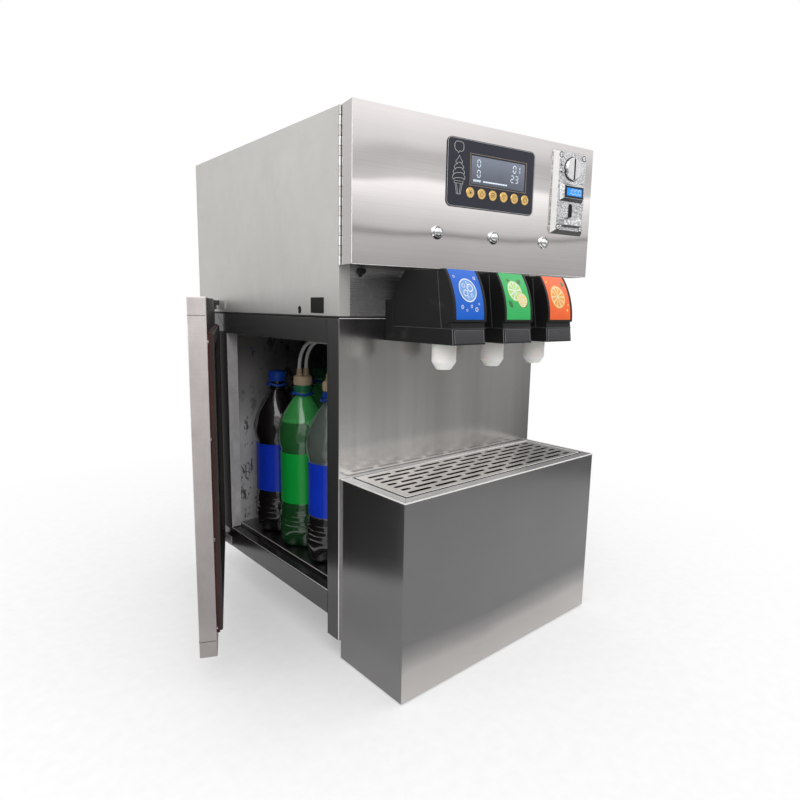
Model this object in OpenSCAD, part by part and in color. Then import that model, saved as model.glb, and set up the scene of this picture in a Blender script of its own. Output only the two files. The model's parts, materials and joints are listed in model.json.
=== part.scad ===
// Counter-top drinks dispenser with three valves, a bottle bay behind a side door
// and a hinged control lid with a coin acceptor. Millimetres, +Z up, front towards -Y.
// The solids are drawn from the cabinet's front left corner at floor level, then moved
// so that the origin lies at the bottom centre of the whole object.

/* [Cabinet] */
// Width of the cabinet
cabinet_w = 420; // [400:1:460]
// Depth of the cabinet without the drip box
cabinet_d = 455; // [440:1:520]
// Height of the lower cabinet's top edge
seam_z = 489; // [480:1:520]
// Height of the hood's top
top_z = 754; // [740:1:800]
// Dark joint between the cabinet and the hood
seam_gap = 3; // [2:0.5:5]
// Set-back of the dark joint from the outer faces
seam_inset = 1; // [0.5:0.5:3]
// Sheet metal thickness
sheet_t = 1.5; // [1:0.1:2]
// Height of the base tray's underside above the floor
foot_h = 60; // [50:1:70]
// Height of the front columns' lower ends
column_low_z = 29; // [20:1:40]
// Height of the base tray's turned-up edge
tray_lip_h = 20; // [10:1:25]

/* [Feet] */
// Diameter of a foot at the floor
foot_d = 44; // [30:1:60]
// Diameter of a foot at its top
foot_top_d = 36; // [26:1:50]
// Distance of the feet from the cabinet's sides
foot_inset_x = 92; // [70:1:110]
// Distance of the feet from the cabinet's front and back
foot_inset_y = 90; // [70:1:110]
// Diameter of the foot's stud
stud_d = 8; // [6:1:10]
// Radial clearance of the stud in the tray
stud_clear = 0.2; // [0.1:0.1:0.5]

/* [Bottle bay] */
// Width of the front column beside the door opening
column_w = 28.5; // [20:0.5:40]
// Distance of the door opening's rear edge from the front
opening_end = 345; // [325:1:350]
// Height of the rail below the door opening
rail_h = 35; // [32:1:45]
// Height of the rail above the door opening
top_rail_h = 34; // [26:1:45]
// Depth of the folded edge round the opening
jamb_d = 20; // [12:1:24]
// Inner width of the bay, from the folded edge
bay_w = 195; // [190:1:215]
// Step from the opening's rear edge to the bay's rear wall
bay_step = 20; // [10:1:30]
// Insulation at the side of the bay
side_wall_t = 30; // [20:1:40]
// Insulation behind the bay
rear_wall_t = 40; // [30:1:60]
// Height of the floor plate's edge
floor_lip_h = 5; // [3:0.5:10]

/* [Drip box] */
// Set-back of the drip box from the cabinet's left side
drip_x = 3.5; // [0.5:0.5:15]
// Set-back of the drip box from the cabinet's right side
drip_right_gap = 0.5; // [0:0.5:15]
// Depth of the drip box
drip_d = 134; // [124:1:170]
// Height of the drip box's underside
drip_low_z = 2; // [1:0.5:10]
// Height of the drip box's top
drip_top_z = 270; // [200:1:320]
// Width of the rim at the front
rim_front = 16; // [12:1:32]
// Width of the rim at the left side
rim_side = 16; // [8:0.5:40]
// Width of the rim at the right side
rim_right = 8; // [6:0.5:40]
// Width of the rim at the back
rim_back = 5; // [4:0.5:12]
// Depth of the grate's seat below the rim
seat_drop = 2.5; // [2.5:0.5:8]
// Width of the ledge that carries the grate
ledge_w = 9; // [7:0.5:12]
// Thickness of the grate
grate_t = 2; // [1.5:0.5:3]
// Clearance under the grate
grate_clear = 0.4; // [0.3:0.1:1]
// Gap round the grate, which shows as a dark line
grate_gap = 2.5; // [1:0.5:4]
// Length of a slot in the grate
slot_l = 40.5; // [20:0.5:60]
// Width of a slot in the grate
slot_w = 6; // [3:0.5:7]
// Bar between two slots of a row
slot_bar = 8.5; // [4:0.5:12]
// Distance between rows of slots
row_step = 14; // [10:0.5:20]
// Least distance of a row or a slot from the grate's edge
slot_edge = 7; // [7:0.5:15]

/* [Door] */
// Thickness of the door
door_t = 22; // [16:1:30]
// Gap between the door's inner face and the cabinet
door_gap = 8; // [7.6:0.1:12]
// Height of the door's lower edge
door_low_z = 53; // [45:1:58]
// Overlap of the door on the hood
door_over = 21.5; // [19:0.5:30]
// Set-back of the door's free edge from the cabinet's front
door_front = 1; // [0:0.5:5]
// Distance of the door's hinge axis from the cabinet's front
door_axis_y = 372; // [365:1:385]
// Angle that the door stands open
door_ajar = 25; // [0:1:60]
// Width of the gasket
gasket_w = 16; // [10:1:18]
// Gap between the closed gasket and the cabinet
gasket_gap = 0.6; // [0.3:0.1:2]
// Overlap of the gasket's inner edge on the opening's edge
gasket_over = 2; // [0:0.5:4]
// Diameter of a door hinge pin
door_pin_d = 4; // [3:0.5:4.5]
// Wall of a door hinge knuckle
door_knuckle_t = 1.4; // [1:0.1:1.6]
// Length of a door hinge
door_hinge_l = 16; // [12:1:17]
// Thickness of a hinge leaf on the door and the cabinet
door_leaf_t = 1.5; // [1:0.1:2]
// Reach of the hinge strap in front of the axis
strap_front = 26; // [15:1:30]
// Reach of the hinge strap behind the axis
strap_back = 40; // [20:1:50]
// Reach of the door's hinge leaf
door_leaf_l = 30; // [15:1:40]

/* [Catch] */
// Length of the door catch
catch_l = 32; // [20:1:40]
// Height of the door catch
catch_h = 21; // [12:1:22]
// Distance of the catch from the front
catch_y = 36; // [20:1:60]
// Depth of the catch inside the hood
catch_depth = 12; // [6:1:20]

/* [Lid] */
// Height of the lid's lower edge
lid_low_z = 558; // [557:1:566]
// Depth of the lid
lid_t = 35; // [30:1:50]
// Gap between the closed lid and the hood
lid_gap = 1; // [0.5:0.1:3]
// Step from the hood's top down to the lid's top
lid_top_step = 1; // [0:0.5:5]
// Angle that the lid stands open
lid_ajar = 9.8; // [0:0.1:40]
// Diameter of the lid's hinge pin
lid_pin_d = 2.4; // [2:0.1:3]
// Radius of the lid's hinge knuckles
lid_knuckle_r = 2.5; // [2.2:0.1:3]
// Number of knuckles along the lid
lid_knuckles = 16; // [8:2:24]
// Width of a leaf of the lid's hinge
lid_leaf_w = 14; // [10:1:16]
// Thickness of a leaf of the lid's hinge
lid_leaf_t = 1.2; // [0.8:0.1:1.5]
// Radial clearance of a hinge pin
pin_clear = 0.05; // [0.02:0.01:0.1]
// Gap between neighbouring knuckles and beside them
knuckle_gap = 0.4; // [0.3:0.1:0.8]
// Width of the hood's folded front edge
hood_edge_w = 17.5; // [15:0.5:18]

/* [Display] */
// Shift of the overlay's middle from the lid's middle
overlay_shift = 9; // [0:0.5:12]
// Distance of the overlay's upper edge from the lid's top
overlay_down = 21; // [12:1:24]
// Width of the overlay
overlay_w = 157; // [157:1:170]
// Height of the overlay
overlay_h = 90; // [84:1:100]
// Thickness of the overlay
overlay_t = 1.2; // [0.8:0.1:2]
// Corner radius of the overlay
overlay_r = 8; // [3:0.5:15]
// Width of the display window
window_w = 98; // [80:1:104]
// Height of the display window
window_h = 37.5; // [30:0.5:42]
// Distance of the window from the overlay's left edge
window_x = 41; // [36:0.5:44]
// Distance of the window from the overlay's lower edge
window_up = 33; // [31:0.5:36]
// Diameter of a key
key_d = 14; // [8:0.5:15]
// Distance between keys
key_step = 20; // [16:0.5:20]
// Distance of the first key from the overlay's left edge
key_x = 40; // [30:0.5:41]
// Distance of the keys from the overlay's lower edge
key_up = 21; // [17:0.5:23]
// Height of a key above the overlay
key_proud = 1; // [0.9:0.1:2]
// Clearance round a key
key_clear = 0.3; // [0.3:0.05:0.6]
// Travel of a key
key_travel = 0.8; // [0.3:0.1:0.8]
// Distance of the control board behind the lid's front
board_back = 11; // [8:0.5:16]
// Thickness of the control board
board_t = 1.6; // [1:0.1:2.4]

/* [Push buttons] */
// Shift of the middle button from the lid's middle
button_shift = 15.5; // [0:0.5:16]
// Distance between buttons
button_step = 97.5; // [80:0.5:98]
// Height of the buttons above the lid's lower edge
button_up = 48; // [30:1:49]
// Diameter of a button's rim
button_rim_d = 19; // [18:0.5:21]
// Height of a button's rim
button_rim_h = 3.5; // [3:0.1:5]
// Diameter of a button's barrel
barrel_d = 16; // [15:0.5:17]
// Length of a button's barrel behind the lid
barrel_l = 26; // [18:1:28]
// Diameter of a button's plunger
plunger_d = 12.4; // [10:0.1:12.6]
// Clearance round a plunger
plunger_clear = 0.3; // [0.3:0.05:0.5]
// Height of the plunger's dome above the rim
dome_h = 3; // [2.6:0.1:4]
// Travel of a plunger
button_travel = 2.5; // [1:0.1:2.5]

/* [Coin acceptor] */
// Distance of the coin plate from the lid's free edge
coin_right = 20; // [18:1:24]
// Distance of the coin plate from the lid's top
coin_down = 10; // [9:0.5:13]
// Width of the coin plate
coin_w = 66; // [60:1:66]
// Height of the coin plate
coin_h = 122; // [118:1:126]
// Thickness of the coin plate
coin_t = 9; // [8:0.5:12]
// Bevel round the coin plate
coin_bevel = 5; // [2:0.5:7]
// Diameter of the coin return knob
knob_d = 32; // [30:0.5:36]
// Height of the knob above the plate
knob_proud = 5; // [3:0.5:8]
// Diameter of the knob's journal
journal_d = 28; // [26:0.5:29]
// Radial clearance of the journal
journal_clear = 0.05; // [0.02:0.01:0.1]
// Clearance round and behind the knob's head
knob_clear = 0.4; // [0.3:0.1:0.8]
// Distance of the knob from the plate's top
knob_down = 27; // [22:0.5:30]
// Width of the coin slit
slit_w = 3; // [2:0.1:3.5]
// Length of the coin slit
slit_l = 25; // [20:0.5:26]
// Depth of the groove across the knob's face
knob_groove = 2; // [1:0.5:3]
// Width of the coin label's block
label_w = 40; // [34:1:44]
// Height of the coin label's block
label_h = 18; // [15:0.5:20]
// Distance of the label's middle from the plate's bottom
label_up = 60.5; // [58:0.5:63]
// Height of the label's block above the plate
label_proud = 6; // [4:0.5:8]
// Slope of the label's block, measured along the plate
label_slope = 4; // [2:0.5:6]
// Width of the slot that returned coins drop from
return_w = 6; // [4:0.5:8]
// Height of the slot that returned coins drop from
return_h = 21; // [18:0.5:21]
// Distance of the return slot's foot from the plate's bottom
return_up = 23; // [21:0.5:24]
// Depth of the coin mechanism behind the coin plate
mech_d = 74; // [60:1:80]
// Edge of the plate left outside the mechanism
mech_edge = 8; // [8:0.5:10]

/* [Valves] */
// Shift of the middle valve from the cabinet's middle
valve_shift = -3; // [-10:0.5:10]
// Distance between valves
valve_step = 98; // [90:1:104]
// Width of a valve
valve_w = 61; // [50:1:70]
// Depth of a valve's foot
valve_d = 134; // [128:1:145]
// Height of a valve's underside
valve_low_z = 459; // [450:1:461]
// Height of the joint between a valve's base and cover
valve_joint_h = 20.5; // [15:0.5:24]
// Height of a valve's front plate
kick_h = 29; // [26:0.5:32]
// Backward lean of the front plate
kick_lean = 3.5; // [1:0.5:6]
// Height of a valve
valve_h = 95; // [92:1:96]
// Depth of the mounting block behind a valve
mount_d = 17; // [12:1:20]
// Height of the mounting block
mount_h = 56; // [50:1:65]
// Radius of the curved front
face_r = 110.5; // [105:0.5:120]
// Radius of the curved rear
crown_r = 105; // [100:0.5:110]
// Frame beside the face plate
face_edge = 4.5; // [3:0.5:8]
// Thickness of the face plate
plate_t = 1; // [0.6:0.1:2]
// Depth of the face plate below the frame
plate_sink = 0.4; // [0.2:0.1:0.8]
// Diameter of a nozzle
nozzle_d = 33; // [26:0.5:40]
// Diameter of a nozzle's mouth
nozzle_mouth_d = 20; // [14:0.5:22]
// Height of a nozzle
nozzle_h = 35; // [25:1:45]
// Height of a nozzle's tapered end
nozzle_taper_h = 10; // [8:0.5:18]
// Distance of the nozzle from the cabinet's front
nozzle_y = 88; // [70:1:95]

/* [Bottles and tubes] */
// Diameter of a bottle
bottle_d = 86; // [70:1:87]
// Height of a bottle up to its neck finish
bottle_h = 280; // [250:1:285]
// Distance of the first row of bottles from the cabinet's left side
bottle_x = 72; // [66:1:76]
// Distance between rows of bottles
bottle_row = 94; // [88:1:97]
// Distance of the first bottle from the cabinet's front
bottle_y = 121; // [115:1:125]
// Distance between bottles in a row
bottle_step = 88; // [87.5:0.5:92]
// Diameter of a bottle cap
cap_d = 31; // [28:0.5:36]
// Height of a bottle cap
cap_h = 14; // [10:0.5:16]
// Diameter of a tube port on a cap
port_d = 11; // [9:0.5:12]
// Height of a tube port on a cap
port_h = 12; // [8:0.5:14]
// Distance between the two ports
port_step = 13; // [12.5:0.5:16]
// Diameter of a tube
tube_d = 6; // [4:0.5:8]
// Straight rise of a tube above its port
tube_rise = 2; // [1:0.5:4]
// Distance of the highest tubes below the opening's top
tube_drop = 6; // [5:0.5:10]
// Height between the tubes of the front and the rear bottles
tube_level = 7; // [6.5:0.5:9]

/* [Cooling unit] */
// Diameter of the compressor
compressor_d = 128; // [100:1:135]
// Height of the compressor
compressor_h = 175; // [140:1:220]
// Distance of the compressor's middle from the cabinet's front
compressor_y = 105; // [100:1:120]
// Width of the compressor's base plate
compressor_base = 140; // [120:1:142]
// Height of the compressor's rubber mounts
compressor_foot_h = 12; // [8:1:16]
// Height of the compressor's domed top
compressor_dome_h = 40; // [30:1:44]
// Width of the condenser
condenser_w = 140; // [130:1:150]
// Height of the condenser
condenser_h = 160; // [150:1:200]
// Thickness of the condenser
condenser_t = 36; // [24:1:50]
// Diameter of a condenser tube
coil_d = 9; // [6:0.5:10]
// Number of condenser fins
fin_count = 13; // [6:1:20]
// Diameter of the fan
fan_d = 120; // [90:1:122]
// Gap between the fan's tips and its ring
fan_gap = 4; // [2:0.5:6]
// Diameter of the fan's shaft
shaft_d = 6; // [4:0.5:8]
// Diameter of the fan's motor
motor_d = 42; // [30:1:50]
// Length of the fan's motor
motor_l = 38; // [25:1:50]
// Number of fan blades
blade_count = 5; // [3:1:7]
// Number of vent slots in a panel
vent_count = 9; // [4:1:10]
// Distance between vent slots
vent_step = 16; // [12:1:17]
// Width of a vent slot
vent_w = 6; // [4:0.5:8]
// Length of a vent slot in the right panel
side_vent_l = 110; // [80:1:130]
// Length of a vent slot in the hood's back
hood_vent_l = 150; // [100:1:200]

/* [Head] */
// Width of the chiller tank
tank_w = 190; // [140:1:200]
// Depth of the chiller tank
tank_d = 220; // [150:1:240]
// Height of the chiller tank
tank_h = 180; // [140:1:215]
// Distance of the head's parts from the side walls
head_side = 30; // [28:1:34]
// Distance of the tank from the back
tank_back = 30; // [20:1:40]
// Distance of the air pump from the back
pump_back = 60; // [40:1:70]
// Length of the air pump
pump_l = 110; // [80:1:120]
// Diameter of the air pump's motor
pump_d = 52; // [40:1:60]
// Width of the power supply
supply_w = 100; // [70:1:110]
// Depth of the power supply
supply_d = 110; // [80:1:120]
// Height of the power supply
supply_h = 44; // [30:1:60]
// Gap between the power supply and the air pump
supply_gap = 33.5; // [10:0.5:40]
// Distance of the coin box from the cabinet's front
box_front = 16; // [14.5:0.5:20]
// Depth of the coin box
box_d = 84; // [60:1:90]
// Width of the coin box
box_w = 70; // [60:1:80]
// Height of the coin box
box_h = 62; // [45:1:64]
// Width of the power inlet's flange
inlet_w = 50; // [46:1:60]
// Height of the power inlet's flange
inlet_h = 32; // [30:1:40]
// Thickness of the power inlet's flange
inlet_t = 2.5; // [2:0.5:4]

/* [Hidden] */
$fn = 64;
eps = 0.01;
over = 1;

// Heights and edges that several pieces share
tray_top = foot_h + sheet_t;
rail_top = foot_h + rail_h;
opening_top = seam_z - top_rail_h;
deck_top = seam_z + seam_gap;
bay_front = column_w - sheet_t;
bay_back = opening_end + bay_step;
bay_right = jamb_d + bay_w;
liner_right = bay_right + side_wall_t;
drip_right = cabinet_w - drip_right_gap;
grate_left = drip_x + rim_side;
grate_right = drip_right - rim_right;
grate_front = -drip_d + rim_front;
grate_back = -rim_back;
seat_z = drip_top_z - seat_drop;
hood_low = deck_top;

// Door, drawn closed and then turned about its axis
door_inner_x = -door_gap;
door_outer_x = door_inner_x - door_t;
door_axis_x = -door_gap / 2;
door_top_z = hood_low + door_over;
door_knuckle_r = door_pin_d / 2 + door_knuckle_t;
door_hinge_zs = [max(foot_h, door_low_z + sheet_t) + over, door_top_z - door_hinge_l - sheet_t];
gasket_front = column_w - gasket_w + gasket_over;
gasket_back = opening_end + gasket_w - gasket_over;
gasket_low = rail_top - gasket_w + gasket_over;
gasket_top = opening_top + gasket_w - gasket_over;

// Lid, drawn closed and then turned about its axis
lid_axis_y = -(lid_knuckle_r + knuckle_gap);
lid_top_z = top_z - lid_top_step;
lid_h = lid_top_z - lid_low_z;
lid_front = -lid_t;
lid_back = lid_front + sheet_t;
knuckle_l = lid_h / lid_knuckles;
overlay_x = (cabinet_w - overlay_w) / 2 + overlay_shift;
overlay_z = lid_top_z - overlay_down - overlay_h;
board_front = lid_back + board_back;
board_edge = 5;
cut_edge = 8.5;
standoff_d = 5;
button_x = cabinet_w / 2 + button_shift - button_step;
button_z = lid_low_z + button_up;
coin_x = cabinet_w - coin_right - coin_w;
coin_z = lid_top_z - coin_down - coin_h;
coin_front = lid_front - coin_t;
coin_mid = coin_x + coin_w / 2;
knob_z = coin_z + coin_h - knob_down;
knob_seat = 4;

// Valve profile, measured from the cabinet's front and the valve's underside
face_rise = kick_h + 3;
valve_x = cabinet_w / 2 + valve_shift - valve_step;
crown_y = -mount_d + over - 0.94 * crown_r;
crown_z = mount_h - 0.34 * crown_r;

// Head
lid_rest_up = 2;
lid_rest_d = 14;
catch_up = 3.5;
strike_in = 3;
strike_up = 5.5;
strike_gap = 1.5;
latch_slot_y = 99;
latch_slot_l = 11;
latch_slot_w = 9.5;
latch_slot_up = 1.5;
tank_lid_h = 12;
tank_lid_w = 4;
stub_d = 9;
stub_h = 16;
stub_edge = 30;
stub_y = 24;
pump_foot = 8;
pump_head_l = 34;
pump_head_up = 6;
pump_port_edge = 10;
pump_port_h = 18;
pump_front = cabinet_d - sheet_t - pump_back - pump_d;
supply_edge = 14;
supply_slot_w = 4;
box_shift = 6;
inlet_side = 90;
inlet_up = 30;
inlet_depth = 24;
inlet_edge_x = 10;
inlet_edge_z = 5;
socket_w = 24;
socket_h = 16;
socket_depth = 16;
blade_step = 7;
blade_w = 2;
blade_h = 4;
blade_end = 5;
inlet_x = cabinet_w - inlet_side;
inlet_z = hood_low + inlet_up;
vent_low = 14;
vent_end = 20;
side_vent_low = 60;

// Cooling unit behind the bay's side wall
unit_mid_x = (liner_right + cabinet_w - sheet_t) / 2;
condenser_gap = 6;
condenser_front = cabinet_d - sheet_t - condenser_gap - condenser_t;
shroud_t = 3;
ring_l = 22;
ring_t = 2;
ring_d = fan_d + 2 * fan_gap;
fan_mid_z = tray_top + condenser_h / 2;
shroud_front = condenser_front - shroud_t;
bar_t = 4;
bar_front = shroud_front - ring_l - bar_t;
bar_w = 16;
fan_hub_d = 34;
fan_l = 14;
fan_front = bar_front + bar_t + fan_gap;
fan_end = 2;
blade_in = 3;
fan_blade_w = 40;
fan_blade_t = 1.8;
blade_angle = 26;
compressor_foot_d = 18;
compressor_foot_edge = 15;
compressor_base_t = 3;
dome_flat = 12;
end_plate_t = 2;
fin_t = 0.8;
fin_end = 6;
coil_end = 20;

// Bottles: column, row, connected or spare
bottle_places = [[0, 0, true], [0, 1, true], [0, 2, false], [1, 0, true], [1, 2, false]];
neck_d = 27;
neck_h = 40;
neck_ring_w = 3;
neck_ring_h = 2.5;
neck_ring_down = 6;
base_r = 24;
base_in = 12;
waist_r = 90;
waist_in = 2;
shoulder_r = 20;
shoulder_z = 0.70 * bottle_h;
cap_z = rail_top + bottle_h;
port_z = cap_z + cap_h;

// The whole object's reach, which places the origin
door_reach_x = door_axis_x + (door_outer_x - door_axis_x) * cos(door_ajar)
    - (door_axis_y - door_front) * sin(door_ajar);
centre_x = (min(door_reach_x, -lid_knuckle_r) + cabinet_w) / 2;
centre_y = (cabinet_d + inlet_t - drip_d) / 2;

// Helpers
module place() translate([-centre_x, -centre_y, 0]) children();

module block(low, high) translate(low) cube(high - low);

module from_side(x, t) translate([x, 0, 0]) rotate([90, 0, 90]) linear_extrude(t) children();

module facing(y) translate([0, y, 0]) rotate([90, 0, 0]) children();

module turned(x, y, angle) translate([x, y, 0]) rotate(-angle) translate([-x, -y, 0]) children();

module door_pose() place() turned(door_axis_x, door_axis_y, door_ajar) children();

module lid_pose() place() turned(0, lid_axis_y, lid_ajar) children();

module round_rect(size, r) {
    translate([r, 0]) square([size[0] - 2 * r, size[1]]);
    translate([0, r]) square([size[0], size[1] - 2 * r]);
    for (x = [r, size[0] - r], y = [r, size[1] - r]) translate([x, y]) circle(r);
}

module slot_2d(l, w) {
    translate([w / 2, -w / 2]) square([l - w, w]);
    for (x = [w / 2, l - w / 2]) translate([x, 0]) circle(d = w);
}

module foot_places() {
    for (x = [foot_inset_x, cabinet_w - foot_inset_x], y = [foot_inset_y, cabinet_d - foot_inset_y])
        translate([x, y, 0]) children();
}

module key_places() {
    for (i = [0:5]) key_place(i) children();
}

module key_place(i) translate([overlay_x + key_x + i * key_step, 0, overlay_z + key_up]) children();

module button_place(i) translate([button_x + i * button_step, 0, button_z]) children();

module valve_place(i) translate([valve_x + i * valve_step, 0, valve_low_z]) children();

function bottle_at(b) = [bottle_x + b[0] * bottle_row, bottle_y + b[1] * bottle_step, rail_top];

// A row of level vent slots, cut right through a panel that faces the back
module back_vents(mid_x, low_z, l) {
    for (i = [0:vent_count - 1])
        facing(cabinet_d + over) translate([mid_x - l / 2, low_z + i * vent_step]) linear_extrude(sheet_t + 2 * over)
            slot_2d(l, vent_w);
}

// Cabinet
module base_tray() color("silver") place() difference() {
    block([sheet_t, sheet_t, foot_h], [cabinet_w - sheet_t, cabinet_d - sheet_t, foot_h + tray_lip_h]);
    block([2 * sheet_t, 2 * sheet_t, tray_top],
        [cabinet_w - 2 * sheet_t, cabinet_d - 2 * sheet_t, foot_h + tray_lip_h + over]);
    foot_places() translate([0, 0, foot_h - over]) cylinder(d = stud_d + 2 * stud_clear, h = sheet_t + 2 * over);
}

module rubber_feet() color("#202020") place() foot_places() {
    rotate_extrude() polygon([[0, 0], [foot_d / 2 - 2, 0], [foot_d / 2, 2], [foot_d / 2, 9],
        [foot_top_d / 2, 15], [foot_top_d / 2, foot_h], [0, foot_h]]);
    translate([0, 0, foot_h - over]) cylinder(d = stud_d, h = sheet_t + over);
}

module side_outline() polygon([[sheet_t, column_low_z], [column_w, column_low_z], [column_w, foot_h],
    [cabinet_d - sheet_t, foot_h], [cabinet_d - sheet_t, seam_z], [sheet_t, seam_z]]);

module side_frame() color("#b4b4b2") place() difference() {
    union() {
        from_side(0, sheet_t) side_outline();
        block([0, bay_front, rail_top - sheet_t], [jamb_d, opening_end + sheet_t, opening_top + sheet_t]);
    }
    block([-over, column_w, rail_top], [jamb_d + over, opening_end, opening_top]);
}

module splash_panel() color("#b8b8b6") place()
    block([0, 0, column_low_z], [cabinet_w, sheet_t, seam_z]);

module right_panel() color("#b4b4b2") place() difference() {
    from_side(cabinet_w - sheet_t, sheet_t) side_outline();
    for (i = [0:vent_count - 1])
        from_side(cabinet_w - sheet_t - over, sheet_t + 2 * over)
            translate([cabinet_d / 2, tray_top + side_vent_low + i * vent_step]) slot_2d(side_vent_l, vent_w);
}

module back_panel() color("#b0b0ae") place() difference() {
    block([0, cabinet_d - sheet_t, foot_h], [cabinet_w, cabinet_d, seam_z]);
    back_vents(unit_mid_x, tray_top + vent_low, condenser_w - vent_end);
}

module bay_liner() color("#cfd0cf") place() difference() {
    block([jamb_d, sheet_t, tray_top], [liner_right, bay_back + rear_wall_t, seam_z]);
    block([jamb_d - over, bay_front, rail_top - sheet_t], [bay_right, bay_back, opening_top + sheet_t]);
    block([jamb_d - over, 0, foot_h], [liner_right + over, 2 * sheet_t, foot_h + tray_lip_h]);
}

module bay_floor() color("#6f7070") place() {
    block([jamb_d, bay_front, rail_top - sheet_t], [bay_right, bay_back, rail_top]);
    block([jamb_d, bay_front, rail_top - eps], [jamb_d + sheet_t, bay_back, rail_top + floor_lip_h]);
}

module drip_box() color("#a9a9a7") place() {
    difference() {
        block([drip_x, -drip_d, drip_low_z], [drip_right, 0, drip_top_z]);
        block([drip_x + sheet_t, -drip_d + sheet_t, drip_low_z + sheet_t],
            [drip_right - sheet_t, -sheet_t, drip_top_z - sheet_t]);
        block([grate_left, grate_front, seat_z], [grate_right, grate_back, drip_top_z + over]);
    }
    difference() {
        block([grate_left - sheet_t, grate_front - sheet_t, seat_z - sheet_t],
            [grate_right + sheet_t, grate_back + sheet_t, drip_top_z - sheet_t + eps]);
        block([grate_left, grate_front, seat_z], [grate_right, grate_back, drip_top_z + over]);
        block([grate_left + ledge_w, grate_front + ledge_w, seat_z - 2 * sheet_t],
            [grate_right - ledge_w, grate_back - ledge_w, drip_top_z]);
    }
}

// A row of slots: whole ones with a short one at the left or the right end, as in a brick wall
module slot_row(count, short_first) {
    step = slot_l + slot_bar;
    short_l = (slot_l - slot_bar) / 2;
    for (i = [0:count - 1]) translate([(i + (short_first ? 0.5 : 0)) * step, 0]) slot_2d(slot_l, slot_w);
    translate([short_first ? 0 : count * step, 0]) slot_2d(short_l, slot_w);
}

module drip_grate() {
    left = grate_left + grate_gap;
    right = grate_right - grate_gap;
    front = grate_front + grate_gap;
    back = grate_back - grate_gap;
    step = slot_l + slot_bar;
    rows = floor((back - front - 2 * slot_edge) / row_step);
    count = floor((right - left - 2 * slot_edge + slot_bar) / step - 0.5);
    margin_x = (right - left + slot_bar - (count + 0.5) * step) / 2;
    margin_y = (back - front - rows * row_step) / 2;
    color("#9d9d9b") place() difference() {
        block([left, front, seat_z + grate_clear], [right, back, seat_z + grate_clear + grate_t]);
        for (row = [0:rows]) translate([left + margin_x, front + margin_y + row * row_step, seat_z])
            linear_extrude(seat_drop + grate_t) slot_row(count, row % 2 == 1);
    }
}

// Head
module catch_hole() block([-over, catch_y, hood_low + catch_up],
    [catch_depth, catch_y + catch_l, hood_low + catch_up + catch_h]);

module hood() color("#c4c4c2") place() difference() {
    block([0, 0, hood_low], [cabinet_w, cabinet_d - sheet_t, top_z]);
    block([sheet_t, sheet_t, hood_low - over], [cabinet_w - sheet_t, cabinet_d, top_z - sheet_t]);
    block([hood_edge_w, -over, hood_low - over], [cabinet_w - hood_edge_w, sheet_t + over, top_z - hood_edge_w]);
    catch_hole();
    from_side(-over, sheet_t + 2 * over) translate([latch_slot_y, hood_low + latch_slot_up]) rotate(90)
        slot_2d(latch_slot_l, latch_slot_w);
}

module hood_back() color("#bdbdbb") place() difference() {
    block([0, cabinet_d - sheet_t, hood_low], [cabinet_w, cabinet_d, top_z]);
    back_vents(cabinet_w / 2, top_z - vent_count * vent_step - vent_end, hood_vent_l);
    inlet_body();
}

module head_deck() color("#1c1c1c") place()
    block([seam_inset, seam_inset, seam_z], [cabinet_w - seam_inset, cabinet_d - seam_inset, deck_top]);

module front_bulkhead() color("#b6b6b4") place() {
    block([hood_edge_w, 0, deck_top], [cabinet_w - hood_edge_w, sheet_t, lid_low_z + lid_rest_up]);
    block([hood_edge_w, 0, lid_low_z + lid_rest_up - sheet_t],
        [cabinet_w - hood_edge_w, lid_rest_d, lid_low_z + lid_rest_up]);
}

module door_catch() color("#151515") place() catch_hole();

module chiller_tank() color("#d8d8d6") place() {
    x = head_side;
    y = cabinet_d - sheet_t - tank_back - tank_d;
    top = deck_top + tank_h;
    block([x, y, deck_top], [x + tank_w, y + tank_d, top - tank_lid_h]);
    block([x - tank_lid_w, y - tank_lid_w, top - tank_lid_h], [x + tank_w + tank_lid_w, y + tank_d + tank_lid_w, top]);
    for (i = [0:5])
        translate([x + stub_edge + i * (tank_w - 2 * stub_edge) / 5, y + stub_y, top - over])
            cylinder(d = stub_d, h = stub_h + over);
}

module air_pump() color("#3a3d42") place() {
    x = cabinet_w - sheet_t - head_side - pump_l;
    y = pump_front;
    z = deck_top + pump_foot + pump_d / 2;
    block([x, y - pump_foot, deck_top], [x + pump_l, y + pump_d + pump_foot, deck_top + 1.5 * pump_foot]);
    translate([x, y + pump_d / 2, z]) rotate([0, 90, 0]) cylinder(d = pump_d, h = pump_l - pump_head_l);
    block([x + pump_l - pump_head_l - eps, y - pump_foot / 2, deck_top + pump_foot],
        [x + pump_l, y + pump_d + pump_foot / 2, z + pump_d / 2 + pump_head_up]);
    for (side = [pump_port_edge, pump_d - pump_port_edge])
        translate([x + pump_l - pump_head_l / 2, y + side, z + pump_d / 2]) cylinder(d = pump_foot, h = pump_port_h);
}

module power_supply() color("#aeb2b5") place() difference() {
    x = cabinet_w - sheet_t - head_side - supply_w;
    y = pump_front - pump_foot - supply_gap - supply_d;
    block([x, y, deck_top], [x + supply_w, y + supply_d, deck_top + supply_h]);
    for (i = [0:6])
        translate([x + supply_edge + i * (supply_w - 2 * supply_edge) / 6, y + supply_edge, deck_top + supply_h])
            translate([0, 0, -supply_slot_w]) linear_extrude(supply_edge) rotate(90)
                slot_2d(supply_d - 2 * supply_edge, supply_slot_w);
}

module coin_box() color("#b9b9b7") place() difference() {
    x = coin_mid - box_w / 2 - box_shift;
    block([x, box_front, deck_top], [x + box_w, box_front + box_d, deck_top + box_h]);
    block([x + sheet_t, box_front + sheet_t, deck_top + sheet_t],
        [x + box_w - sheet_t, box_front + box_d - sheet_t, deck_top + box_h + over]);
}

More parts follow.
